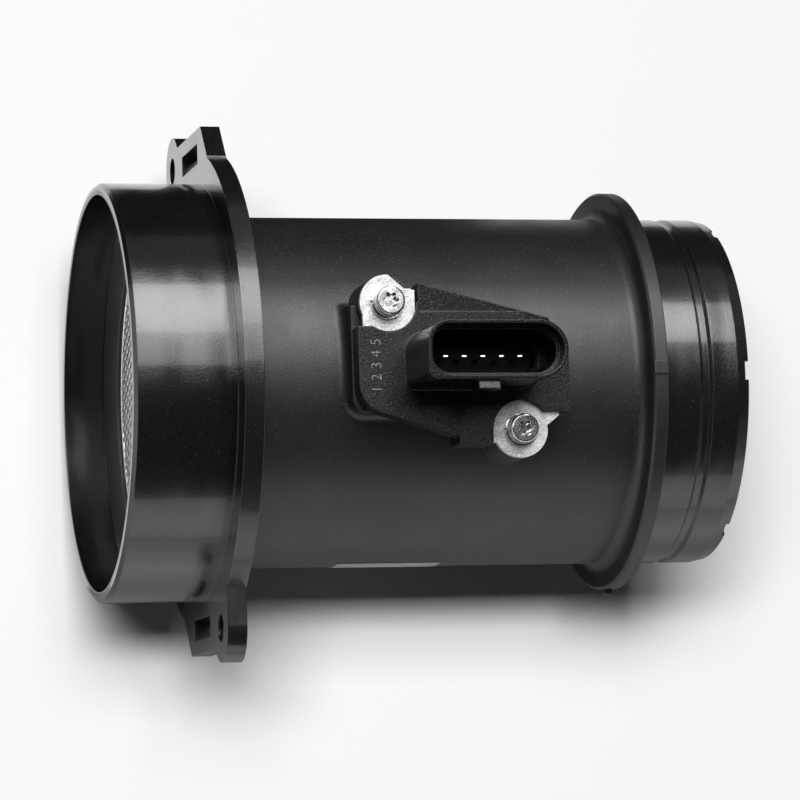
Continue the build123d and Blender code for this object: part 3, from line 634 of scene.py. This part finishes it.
def screen_tree():
    """Expanded metal cut to a disc, in a flat rim: zigzag strands that meet at short bonds."""
    tree, given, result = start_geometry("Expanded Screen", [
        ("Radius", "NodeSocketFloat"), ("Rim Inner Radius", "NodeSocketFloat"),
        ("Rim Outer Radius", "NodeSocketFloat"), ("Long Pitch", "NodeSocketFloat"),
        ("Short Pitch", "NodeSocketFloat"), ("Strand Width", "NodeSocketFloat"),
        ("Strand Thickness", "NodeSocketFloat"), ("Slant", "NodeSocketFloat"),
        ("Rim Thickness", "NodeSocketFloat"), ("Material", "NodeSocketMaterial")])
    radius, long_pitch, short_pitch = given["Radius"], given["Long Pitch"], given["Short Pitch"]
    line = strand_line(tree, radius, long_pitch)
    along = split(tree, tree.nodes.new("GeometryNodeInputPosition").outputs[0])["X"]
    half = calc(tree, "DIVIDE", long_pitch, 2.0)
    swing = calc(tree, "DIVIDE", calc(tree, "PINGPONG", along, half), half)
    wave = add(tree, "ShaderNodeMapRange",
               {"Value": swing, "From Min": BOND_SHARE, "From Max": 1.0 - BOND_SHARE,
                "To Min": -1.0, "To Max": 1.0}).outputs[0]
    rise = product(tree, wave, calc(tree, "DIVIDE", short_pitch, 4.0))
    section = add(tree, "GeometryNodeCurvePrimitiveQuadrilateral",
                  {"Width": given["Strand Width"], "Height": given["Strand Thickness"]}).outputs[0]
    section = add(tree, "GeometryNodeTransform",
                  {"Geometry": section, "Rotation": point(tree, z=given["Slant"])}).outputs[0]

    def zigzag(sign):
        """One strand across the sheet, up first or down first."""
        offset = point(tree, y=product(tree, rise, sign))
        bent = add(tree, "GeometryNodeSetPosition", {"Geometry": line, "Offset": offset}).outputs[0]
        level = add(tree, "GeometryNodeSetCurveNormal", {"Curve": bent}, mode="Z_UP").outputs[0]
        return add(tree, "GeometryNodeCurveToMesh", {"Curve": level, "Profile Curve": section}).outputs[0]

    fits = calc(tree, "DIVIDE", product(tree, radius, 2.0), short_pitch)
    rows = calc(tree, "ADD", calc(tree, "FLOOR", fits), 1.0)
    reach = product(tree, calc(tree, "SUBTRACT", rows, 1.0), short_pitch)
    stacks = []
    for sign, lift in ((1.0, 0.0), (-1.0, 0.5)):
        start = calc(tree, "ADD", calc(tree, "DIVIDE", reach, -2.0), product(tree, short_pitch, lift))
        column = add(tree, "GeometryNodeMeshLine",
                     {"Count": rows, "Start Location": point(tree, y=start),
                      "Offset": point(tree, y=short_pitch)}).outputs[0]
        stacks.append(add(tree, "GeometryNodeInstanceOnPoints",
                          {"Points": column, "Instance": zigzag(sign)}).outputs[0])
    sheet = add(tree, "GeometryNodeRealizeInstances", {0: join(tree, *stacks)}).outputs[0]
    distance = add(tree, "ShaderNodeVectorMath", {0: tree.nodes.new("GeometryNodeInputPosition").outputs[0]},
                   operation="LENGTH").outputs["Value"]
    outside = calc(tree, "GREATER_THAN", distance, radius)
    disc = add(tree, "GeometryNodeDeleteGeometry", {"Geometry": sheet, "Selection": outside},
               domain="FACE").outputs[0]
    return finish_geometry(tree, join(tree, disc, flat_rim(tree, given)), given["Material"], result)


# ---------------------------------------------------------------- terminal tips, numbers and label

TIP_SHARE = 0.6                # how much of the blade's depth its coined tip takes
TIP_THICKNESS = 0.12 * MM
NUMBERS_MIDDLE = Vector((28.9 * MM, 0.0, PLATE_TOP))
EM_PER_NUMBER = 1.38           # the size of type whose numbers are one unit high
LABEL_STEPS = 24


def tips_tree():
    """A row of small coined faces, one on each terminal."""
    tree, given, result = start_geometry("Terminal Tips", [
        ("Count", "NodeSocketInt"), ("Start", "NodeSocketVector"), ("Step", "NodeSocketVector"),
        ("Size", "NodeSocketVector"), ("Turn", "NodeSocketRotation"), ("Material", "NodeSocketMaterial")])
    row = add(tree, "GeometryNodeMeshLine", {"Count": given["Count"], "Start Location": given["Start"],
                                             "Offset": given["Step"]}).outputs[0]
    face = add(tree, "GeometryNodeMeshCube", {"Size": given["Size"]}).outputs[0]
    tips = add(tree, "GeometryNodeInstanceOnPoints", {"Points": row, "Instance": face,
                                                      "Rotation": given["Turn"]}).outputs[0]
    return finish_geometry(tree, tips, given["Material"], result)


def numbers_mesh(marks):
    """The raised numbers in a line, lying flat about the origin."""
    curve = bpy.data.curves.new("terminal_numbers", "FONT")
    curve.body = marks.numbers
    curve.size = marks.number_height * EM_PER_NUMBER
    curve.extrude = marks.number_relief
    curve.offset = -marks.number_thinning
    curve.align_x = curve.align_y = "CENTER"
    carrier = bpy.data.objects.new("terminal_numbers_text", curve)
    bpy.context.scene.collection.objects.link(carrier)
    bpy.context.view_layer.update()
    mesh = bpy.data.meshes.new_from_object(carrier.evaluated_get(bpy.context.evaluated_depsgraph_get()))
    bpy.data.objects.remove(carrier)
    return mesh


def label_mesh(name, radius, thickness, left, right, top, bottom):
    """A thin label bent round the side of the tube, between two angles up from the -Y side."""
    points, faces = [], []
    for step in range(LABEL_STEPS + 1):
        angle = bottom + (top - bottom) * step / LABEL_STEPS
        for reach in (radius, radius + thickness):
            for along in (left, right):
                points.append((along, -reach * math.cos(angle), reach * math.sin(angle)))
    last = LABEL_STEPS * 4
    for low in range(0, last, 4):
        high = low + 4
        for first, second in ((0, 1), (1, 3), (3, 2), (2, 0)):
            faces.append((low + first, low + second, high + second, high + first))
    faces += [(0, 2, 3, 1), (last, last + 1, last + 3, last + 2)]
    mesh = bpy.data.meshes.new(name)
    mesh.from_pydata(points, [], faces)
    mesh.update()
    return mesh


def label_film(base):
    """Matt film with a fine cloud."""
    material, tree, shader = start_material("label_film")
    grain = place_group(tree, "Moulded Grain", Grain_Size=0.3, Fleck_Size=0.2)
    darker = [channel * 0.85 for channel in base]
    feed(tree, shader.inputs["Base Color"],
         blend_colours(tree, remap(tree, grain["Cloud"], 0.35, 0.65), colour(darker), colour(base)))
    feed(tree, shader.inputs["Roughness"], remap(tree, grain["Cloud"], 0.3, 0.7, 0.4, 0.55))
    feed(tree, shader.inputs["Normal"], relief(tree, grain["Height"], 0.005 * MM))
    spread(tree)
    return material


# ---------------------------------------------------------------- studio

TUBE_MIDDLE = Vector((45.0 * MM, 0.0, 0.0))

# Each softbox: the level of its middle and its height, in degrees, how far it reaches to either
# side as parts of its distance in metres, and its share of the key's brightness.
SOFTBOX_DISTANCE = 1.9
SOFTBOXES = {
    "softbox": (50, 28, (-0.42, 0.42), 1.15),
    "softbox top": (73, 18, (-0.42, 0.25), 0.6),
}

# Each floor lamp: how far it leans along X and Y and half its width and depth, as parts of its
# distance, and its share of the floor's light.
FLOOR_LAMP_DISTANCE = 3.0
FLOOR_LAMPS = {
    "floor lamp": ((-0.245, 0.11), (0.21, 0.067), 0.56),
    "floor glow": ((-0.142, 0.227), (0.218, 0.137), 0.48),
}

# The walls that reflections show. Their tops and edges are parts of a direction's whole length.
FRONT_WALL_TOP = math.sin(math.radians(24))
REAR_WALL_TOP = math.sin(math.radians(34))
INLET_WALL_TOP = 0.6
INLET_WALL_EDGE = -0.6
FRONT_WALL_BOOST = 0.15        # how much brighter than white the front wall is

# The black cards that reflections show. The front one is a painted shadow on the floor.
CARD_MARGIN = 0.3              # how far they run past either end of the tube, in metres
CARD_LIFT = 1.0 * MM           # how far the lying cards are over the floor
FOOT_START = 6.0 * MM
FOOT_END = COLLAR_START - 8.0 * MM
FOOT_NEAR = TUBE_HIGH.y - 15.0 * MM
FRONT_SHADOW_CARD_FAR = -190.0 * MM
FRONT_SHADOW_CARD_FULL = -70.0 * MM   # where it has stopped fading
FRONT_SHADOW_CARD_NEAR = -38.0 * MM
# The front card is a painted shadow; this is its darkness where it is fullest.
FRONT_SHADOW_CARD_WEIGHT = 0.7        # how black the front card is where it is fullest


def pale_floor(studio):
    """Matt white sweep, a little uneven."""
    material, tree, shader = start_material("studio_floor")
    cloud = noise(tree, object_position(tree), 3.0, 3.0, 0.5)
    base = studio.floor_colour
    lower = [channel * 0.985 for channel in base]
    feed(tree, shader.inputs["Base Color"], blend_colours(tree, cloud, colour(lower), colour(base)))
    shader.inputs["Roughness"].default_value = 0.9
    shader.inputs["Specular IOR Level"].default_value = 0.1
    spread(tree)
    return material


def area_lamp(name, place, aim, size_x, size_y, radiance, receivers):
    """Add a rectangular lamp of a given brightness, aimed at a point and not itself in view.

    Its width lies along the tube, and it lights only its receivers.
    """
    light = bpy.data.lights.new(name, "AREA")
    light.shape = "RECTANGLE"
    light.size, light.size_y = size_x, size_y
    light.energy = radiance * math.pi * size_x * size_y
    lamp = bpy.data.objects.new(name, light)
    lamp.location = place
    back = (Vector(place) - Vector(aim)).normalized()
    side = (Vector((1.0, 0.0, 0.0)) - back * back.x).normalized()
    lamp.rotation_euler = Matrix((side, back.cross(side), back)).transposed().to_euler()
    lamp.visible_camera = False
    bpy.context.scene.collection.objects.link(lamp)
    lamp.light_linking.receiver_collection = receivers
    return lamp


def softbox(name, level, tall, reach, radiance, receivers):
    """Stand a softbox behind the object, its middle at a level and so many degrees tall."""
    away = SOFTBOX_DISTANCE
    up = Vector((0.0, math.cos(math.radians(level)), math.sin(math.radians(level))))
    left, right = reach
    aim = TUBE_MIDDLE + Vector(((left + right) / 2 * away, 0.0, 0.0))
    height = 2 * away * math.tan(math.radians(tall / 2))
    return area_lamp(name, aim + up * away, aim, (right - left) * away, height, radiance, receivers)


def floor_lamp(name, lean, half_size, light, receivers):
    """Hang a lamp over the floor that gives it so much light, 1 showing the floor's own colour."""
    away = FLOOR_LAMP_DISTANCE
    up = Vector((*lean, math.sqrt(1.0 - lean[0] ** 2 - lean[1] ** 2)))
    wide, deep = (2 * away * half for half in half_size)
    radiance = light * math.pi * away ** 2 / (wide * deep * up.z)
    return area_lamp(name, TUBE_MIDDLE + up * away, TUBE_MIDDLE, wide, deep, radiance, receivers)


def level_card(left, right, front, back, height):
    """The corners of a card that lies level."""
    return [(left, front, height), (right, front, height), (right, back, height), (left, back, height)]


def dark_flag(studio):
    """Black cards that only reflections show.

    One stands behind the tube, one lies at its foot, and one in front is a painted shadow on the floor,
    fading out towards its far edge.
    """
    low, high, back = TUBE_LOW.z, studio.flag_top, studio.flag_place
    left, right = TUBE_LOW.x - CARD_MARGIN, TUBE_HIGH.x + CARD_MARGIN
    standing = [(left, back, low), (right, back, low), (right, back, high), (left, back, high)]
    foot = level_card(FOOT_START, FOOT_END, FOOT_NEAR, back, low + CARD_LIFT)
    shadow_card = level_card(left, right, FRONT_SHADOW_CARD_FAR, FRONT_SHADOW_CARD_NEAR, low + CARD_LIFT)
    mesh = bpy.data.meshes.new("dark_flag")
    mesh.from_pydata(standing + foot + shadow_card, [], [(0, 1, 2, 3), (4, 5, 6, 7), (8, 9, 10, 11)])
    material, tree, shader = start_material("flag_black")
    shader.inputs["Base Color"].default_value = (0.01, 0.01, 0.01, 1.0)
    shader.inputs["Roughness"].default_value = 1.0
    shader.inputs["Specular IOR Level"].default_value = 0.0
    across = split(tree, object_position(tree))["Y"]
    # Painted shadow: the front card darkens from its far edge towards the tube.
    shadow_fade = remap(tree, across, FRONT_SHADOW_CARD_FAR, FRONT_SHADOW_CARD_FULL, 0.0, FRONT_SHADOW_CARD_WEIGHT)
    behind = calc(tree, "GREATER_THAN", across, 0.0)
    feed(tree, shader.inputs["Alpha"],
         calc(tree, "MULTIPLY_ADD", behind, 1.0 - FRONT_SHADOW_CARD_WEIGHT, shadow_fade))
    mesh.materials.append(material)
    card = bpy.data.objects.new("dark_flag", mesh)
    bpy.context.scene.collection.objects.link(card)
    card.visible_camera = card.visible_diffuse = card.visible_shadow = card.visible_transmission = False
    return card


def studio_world(fill, room, glow):
    """A dim room, a little lighter in reflections, with low pale walls along the front and the inlet end."""
    world = bpy.data.worlds.new("studio")
    world.use_nodes = True
    tree = world.node_tree
    tree.nodes.clear()
    path = tree.nodes.new("ShaderNodeLightPath").outputs
    way = split(tree, tree.nodes.new("ShaderNodeTexCoord").outputs["Generated"])
    front = calc(tree, "LESS_THAN", way["Y"], 0.0)
    low = calc(tree, "LESS_THAN", way["Z"], FRONT_WALL_TOP)
    inlet = product(tree, calc(tree, "LESS_THAN", way["X"], INLET_WALL_EDGE),
                    calc(tree, "LESS_THAN", way["Z"], INLET_WALL_TOP))
    walls = calc(tree, "MAXIMUM", product(tree, front, low), inlet)
    wall = product(tree, walls, path["Is Glossy Ray"])
    rear = product(tree, calc(tree, "GREATER_THAN", way["Y"], 0.0),
                   calc(tree, "LESS_THAN", way["Z"], REAR_WALL_TOP))
    seen = calc(tree, "MAXIMUM", path["Is Camera Ray"], path["Is Transmission Ray"])
    white = calc(tree, "MAXIMUM", seen, wall)
    behind = calc(tree, "MULTIPLY_ADD", rear, glow - room, room)
    dim = blend_colours(tree, path["Is Glossy Ray"], (fill, fill, fill, 1.0), behind)
    shown = blend_colours(tree, white, dim, (1.0, 1.0, 1.0, 1.0))
    strength = calc(tree, "MULTIPLY_ADD", product(tree, wall, front), FRONT_WALL_BOOST, 1.0)
    back = add(tree, "ShaderNodeBackground", {"Color": shown, "Strength": strength})
    output = tree.nodes.new("ShaderNodeOutputWorld")
    tree.links.new(back.outputs[0], output.inputs[0])
    spread(tree)
    return world


def studio_camera(studio):
    """The camera, placed and turned as the settings say."""
    lens = bpy.data.cameras.new("camera")
    lens.sensor_width = 36.0
    lens.lens = studio.lens
    lens.clip_start, lens.clip_end = 0.01, 20.0
    camera = bpy.data.objects.new("camera", lens)
    camera.location = studio.camera_place
    camera.rotation_euler = Euler(studio.camera_turn)
    bpy.context.scene.collection.objects.link(camera)
    return camera


def studio_floor(studio):
    """The floor that the flow tube's lowest point touches."""
    half = studio.floor_size / 2
    mesh = bpy.data.meshes.new("floor")
    mesh.from_pydata(level_card(-half, half, -half, half, TUBE_LOW.z), [], [(0, 1, 2, 3)])
    mesh.materials.append(pale_floor(studio))
    floor = bpy.data.objects.new("floor", mesh)
    bpy.context.scene.collection.objects.link(floor)
    return floor


# ---------------------------------------------------------------- settings

def length(name, description, default):
    """A size in metres."""
    return bpy.props.FloatProperty(name=name, description=description, default=default,
                                   min=0.0, unit="LENGTH", precision=5)


def share(name, description, default):
    """A value from 0 to 1."""
    return bpy.props.FloatProperty(name=name, description=description, default=default,
                                   min=0.0, max=1.0, subtype="FACTOR")


def paint(name, description, default):
    """A colour."""
    return bpy.props.FloatVectorProperty(name=name, description=description, default=default,
                                         size=3, min=0.0, max=1.0, subtype="COLOR")


def turn(name, description, degrees):
    """An angle."""
    return bpy.props.FloatProperty(name=name, description=description, default=math.radians(degrees),
                                   subtype="ANGLE")


def turns(name, description, *degrees):
    """Turns about X, Y and Z."""
    return bpy.props.FloatVectorProperty(name=name, description=description, subtype="EULER",
                                         default=[math.radians(angle) for angle in degrees])


def brightness(name, description, default):
    """A brightness that may pass 1."""
    return bpy.props.FloatProperty(name=name, description=description, default=default, min=0.0)


class FinishSettings(bpy.types.PropertyGroup):
    """Colours and gloss of the mouldings and metals."""
    tube_colour: paint("Tube black", "Colour of the flow tube", (0.011, 0.0112, 0.0115))
    socket_colour: paint("Socket black", "Colour of the smoother socket and spigot", (0.0055, 0.0056, 0.0058))
    module_colour: paint("Module black", "Colour of the plug-in module", (0.006, 0.0061, 0.0064))
    # This colour is painted light: the ring is lighter than the tube to stand in for light it lacks inside
    # the socket.
    ring_lightened_colour: paint("Ring black", "Colour of the ring that holds the screen", (0.05, 0.05, 0.051))
    fleck_colour: paint("Fleck", "Colour of the glass flecks", (0.14, 0.14, 0.142))
    # The edge colour is rubbed wear and also a painted highlight along the edges.
    edge_wear_and_highlight_colour: paint("Edge", "Colour of the rubbed edges", (0.12, 0.12, 0.121))
    tube_roughness: share("Tube roughness", "Roughness of the satin tube", 0.44)
    socket_roughness: share("Socket roughness", "Roughness of the smoother socket and spigot", 0.20)
    module_roughness: share("Module roughness", "Roughness of the module", 0.27)
    shroud_roughness: share("Shroud roughness", "Roughness of the plug shroud", 0.15)
    parting_width: length("Parting line", "Width of the line where the mould halves meet", 0.16 * MM)
    screen_colour: paint("Screen", "Colour of the screen metal", (0.92, 0.92, 0.93))
    carrier_colour: paint("Carrier zinc", "Colour of the plated carrier", (0.87, 0.875, 0.88))
    screw_colour: paint("Screw zinc", "Colour of the plated screws", (0.72, 0.72, 0.73))
    blade_colour: paint("Blade tin", "Colour of the terminals", (0.88, 0.88, 0.87))
    tip_turn: turns("Tip turn", "How the coined tips of the terminals are turned", -6, -4, 0)


class ScreenSettings(bpy.types.PropertyGroup):
    """Sizes of the expanded-metal flow screen."""
    long_pitch: length("Long pitch", "Length of a diamond", 4.9 * MM)
    short_pitch: length("Short pitch", "Height of a diamond", 2.35 * MM)
    strand_width: length("Strand width", "Width of a strand across the sheet", 0.62 * MM)
    strand_thickness: length("Strand thickness", "Thickness of a strand", 0.36 * MM)
    slant: turn("Slant", "Turn of each strand about its own line", 28)
    rim_inner: length("Rim inner radius", "Where the flat rim starts", 35.7 * MM)


class MarkSettings(bpy.types.PropertyGroup):
    """The raised terminal numbers on the module plate and the blank label on the tube."""
    numbers: bpy.props.StringProperty(name="Numbers", description="Plain numbers of the five terminals",
                                      default="1 2 3 4 5")
    number_height: length("Number height", "Height of a number", 2.3 * MM)
    number_relief: length("Number relief", "How far the numbers stand up", 0.12 * MM)
    number_thinning: length("Number thinning", "How much each side of a stroke is pared", 0.035 * MM)
    label_start: length("Label start", "Distance of the label from the flange", 29.0 * MM)
    label_length: length("Label length", "Length of the label along the tube", 23.0 * MM)
    label_thickness: length("Label thickness", "Thickness of the label", 0.1 * MM)
    label_top: turn("Label top", "Angle of the label's upper edge", 7.5)
    label_bottom: turn("Label bottom", "Angle of the label's lower edge", -38)
    label_colour: paint("Label", "Colour of the blank label", (0.5, 0.5, 0.5))
    # This colour paints the numbers pale as a painted highlight on their rounded tops.
    number_glint_colour: paint("Number", "Colour of the rubbed numbers", (0.3, 0.3, 0.302))


class StudioSettings(bpy.types.PropertyGroup):
    """Camera, floor and lamps."""
    camera_place: bpy.props.FloatVectorProperty(
        name="Camera place", description="Where the camera stands", subtype="XYZ", unit="LENGTH",
        default=(-0.171711, -0.103015, 0.863914))
    camera_turn: turns("Camera turn", "How the camera is turned", 6.9548, -13.8862, -1.9171)
    lens: bpy.props.FloatProperty(name="Lens", description="Focal length on a 36 mm sensor, in millimetres",
                                  default=184.51, min=1.0, unit="CAMERA")
    floor_colour: paint("Floor", "Colour of the floor", (0.955, 0.955, 0.955))
    floor_size: length("Floor size", "Length of the floor's side", 6.0)
    key_radiance: brightness("Key radiance", "Brightness of the softboxes", 6.0)
    floor_light: brightness("Floor light", "Light on the floor, where 1 shows its own colour", 1.0)
    fill: share("Fill", "Brightness of the dim room round the object", 0.02)
    room: share("Room", "Brightness of the room overhead in reflections", 0.05)
    glow: share("Glow", "Brightness of the wall behind in reflections", 0.18)
    flag_place: length("Flag place", "How far behind the tube's axis the black card stands", 92.0 * MM)
    flag_top: length("Flag top", "Height of the card's top over the tube's axis", 36.0 * MM)


# ---------------------------------------------------------------- operators

class SENSOR_OT_tube(bpy.types.Operator):
    """Finish the flow tube and the ring that holds its screen"""
    bl_idname = "sensor.tube"
    bl_label = "Flow tube"

    def execute(self, context):
        finish = context.scene.sensor_finish
        dress(tube_black(finish), "flow_tube")
        # The ring's colour is painted light, lighter than the tube where the socket shades it.
        dress(plain_moulding("ring_black", finish, finish.ring_lightened_colour, roughness=0.3, grain_depth=0.02 * MM,
                             edge_radius=0.6 * MM, wear_and_highlight=1.0), "screen_ring")
        return {"FINISHED"}


class SENSOR_OT_screen(bpy.types.Operator):
    """Make the expanded-metal screen in the inlet socket"""
    bl_idname = "sensor.screen"
    bl_label = "Flow screen"

    def execute(self, context):
        sizes = context.scene.sensor_screen
        middle = (SCREEN_LOW.x + SCREEN_HIGH.x) / 2
        upright = Matrix.Translation((middle, 0, 0)) @ Matrix.Rotation(math.radians(-90), 4, "Y")
        mesh = bake("flow_screen_mesh", screen_tree(), {
            "Radius": sizes.rim_inner + SHEET_GRIP, "Rim Inner Radius": sizes.rim_inner,
            "Rim Outer Radius": SCREEN_HIGH.y - RIM_CLEARANCE, "Long Pitch": sizes.long_pitch,
            "Short Pitch": sizes.short_pitch, "Strand Width": sizes.strand_width,
            "Strand Thickness": sizes.strand_thickness, "Slant": sizes.slant,
            "Rim Thickness": (SCREEN_HIGH.x - SCREEN_LOW.x) * RIM_SHARE,
            "Material": bright_screen(context.scene.sensor_finish)}, upright)
        keep_mesh("expanded_screen", mesh, replaced=["flow_screen"])
        return {"FINISHED"}


class SENSOR_OT_module(bpy.types.Operator):
    """Finish the module, its seal, terminals, board and probe"""
    bl_idname = "sensor.module"
    bl_label = "Plug-in module"

    def execute(self, context):
        finish = context.scene.sensor_finish
        dress(module_black(finish), "module_body")
        dress(plain_moulding("probe_black", finish, finish.module_colour, roughness=0.36,
                             grain_depth=0.02 * MM), "bypass_duct", "bypass_cover")
        dress(seal_rubber(), "o_ring")
        blade = tinned_blade(finish)
        dress(blade, *BLADES)
        size = BLADE_HIGH - BLADE_LOW
        middle = (BLADE_LOW + BLADE_HIGH) / 2
        pitch = (LAST_BLADE.x - BLADE_LOW.x) / (len(BLADES) - 1)
        tips = bake("terminal_tips_mesh", tips_tree(), {
            "Count": len(BLADES), "Start": Vector((middle.x, middle.y, BLADE_HIGH.z)),
            "Step": Vector((pitch, 0.0, 0.0)), "Size": Vector((size.x, size.y * TIP_SHARE, TIP_THICKNESS)),
            "Turn": Euler(finish.tip_turn), "Material": blade})
        keep_mesh("terminal_tips", tips)
        dress(board_green(), "circuit_board")
        dress(fired_ceramic(), "flow_chip")
        dress(dipped_resin(), "air_temp_sensor")
        return {"FINISHED"}


class SENSOR_OT_fixings(bpy.types.Operator):
    """Finish the plated carrier, the lock washers and the screws"""
    bl_idname = "sensor.fixings"
    bl_label = "Carrier and screws"

    def execute(self, context):
        finish = context.scene.sensor_finish
        dress(plated_steel("carrier_zinc", finish.carrier_colour, roughness=0.5, grain_size=0.42,
                           scratches=0.3, depth=0.04 * MM, edge_radius=0.12 * MM), "carrier_plate")
        dress(plated_steel("screw_zinc_finish", finish.screw_colour, roughness=0.13, grain_size=1.2,
                           scratches=0.1, depth=0.001 * MM, edge_radius=0.18 * MM),
              "lock_washer_upper", "lock_washer_lower", "screw_upper", "screw_lower")
        return {"FINISHED"}


class SENSOR_OT_marks(bpy.types.Operator):
    """Raise the plain terminal numbers on the module plate and put the blank label on the tube"""
    bl_idname = "sensor.marks"
    bl_label = "Numbers and label"

    def execute(self, context):
        marks = context.scene.sensor_marks
        numbers = numbers_mesh(marks)
        numbers.transform(Matrix.Translation(NUMBERS_MIDDLE) @ Matrix.Rotation(math.radians(90), 4, "Z"))
        # The numbers are painted pale grey as a painted highlight on their rounded tops.
        grey = plain_moulding("number_grey", context.scene.sensor_finish, marks.number_glint_colour,
                              roughness=0.3, grain_depth=0.01 * MM)
        keep_mesh("terminal_numbers", numbers, grey)
        label = label_mesh("tube_label_mesh", TUBE_R, marks.label_thickness, marks.label_start,
                           marks.label_start + marks.label_length, marks.label_top, marks.label_bottom)
        keep_mesh("tube_label", label, label_film(marks.label_colour))
        return {"FINISHED"}


class SENSOR_OT_stage(bpy.types.Operator):
    """Set up the floor, the lamps, the room and the camera"""
    bl_idname = "sensor.stage"
    bl_label = "Studio"

    def execute(self, context):
        studio = context.scene.sensor_studio
        scene = context.scene
        floor = studio_floor(studio)

        only_floor = bpy.data.collections.new("lit by the floor lamps")
        only_floor.objects.link(floor)
        only_object = bpy.data.collections.new("lit by the softboxes")
        for piece in scene.objects:
            if piece.type == "MESH" and piece is not floor:
                only_object.objects.link(piece)
        for name, (level, tall, reach, strength) in SOFTBOXES.items():
            softbox(name, level, tall, reach, studio.key_radiance * strength, only_object)
        for name, (lean, half_size, light) in FLOOR_LAMPS.items():
            floor_lamp(name, lean, half_size, studio.floor_light * light, only_floor)
        dark_flag(studio)
        scene.world = studio_world(studio.fill, studio.room, studio.glow)
        scene.camera = studio_camera(studio)
        scene.view_settings.view_transform = "Standard"
        return {"FINISHED"}


class SENSOR_PT_panel(bpy.types.Panel):
    """Lists the steps that dress the sensor"""
    bl_idname = "SENSOR_PT_panel"
    bl_label = "Airflow Sensor"
    bl_space_type = "VIEW_3D"
    bl_region_type = "UI"
    bl_category = "Airflow Sensor"

    def draw(self, context):
        for step in OPERATORS:
            self.layout.operator(step.bl_idname)
        for group in SETTINGS:
            box = self.layout.box()
            for name in SETTINGS[group].__annotations__:
                box.prop(getattr(context.scene, group), name)


SETTINGS = {
    "sensor_finish": FinishSettings,
    "sensor_screen": ScreenSettings,
    "sensor_marks": MarkSettings,
    "sensor_studio": StudioSettings,
}
OPERATORS = (SENSOR_OT_tube, SENSOR_OT_screen, SENSOR_OT_module, SENSOR_OT_fixings, SENSOR_OT_marks,
             SENSOR_OT_stage)
CLASSES = (*SETTINGS.values(), *OPERATORS, SENSOR_PT_panel)


def register():
    """Register the settings, the operators and the panel, and give the scene its settings."""
    for made in CLASSES:
        bpy.utils.register_class(made)
    for name, group in SETTINGS.items():
        setattr(bpy.types.Scene, name, bpy.props.PointerProperty(type=group))


def unregister():
    """Take the settings, the operators and the panel away again."""
    for name in SETTINGS:
        delattr(bpy.types.Scene, name)
    for made in reversed(CLASSES):
        bpy.utils.unregister_class(made)


def main():
    """Dress the part step by step."""
    register()
    for step in ("tube", "screen", "module", "fixings", "marks", "stage"):
        getattr(bpy.ops.sensor, step)()


if __name__ == "__main__":
    main()
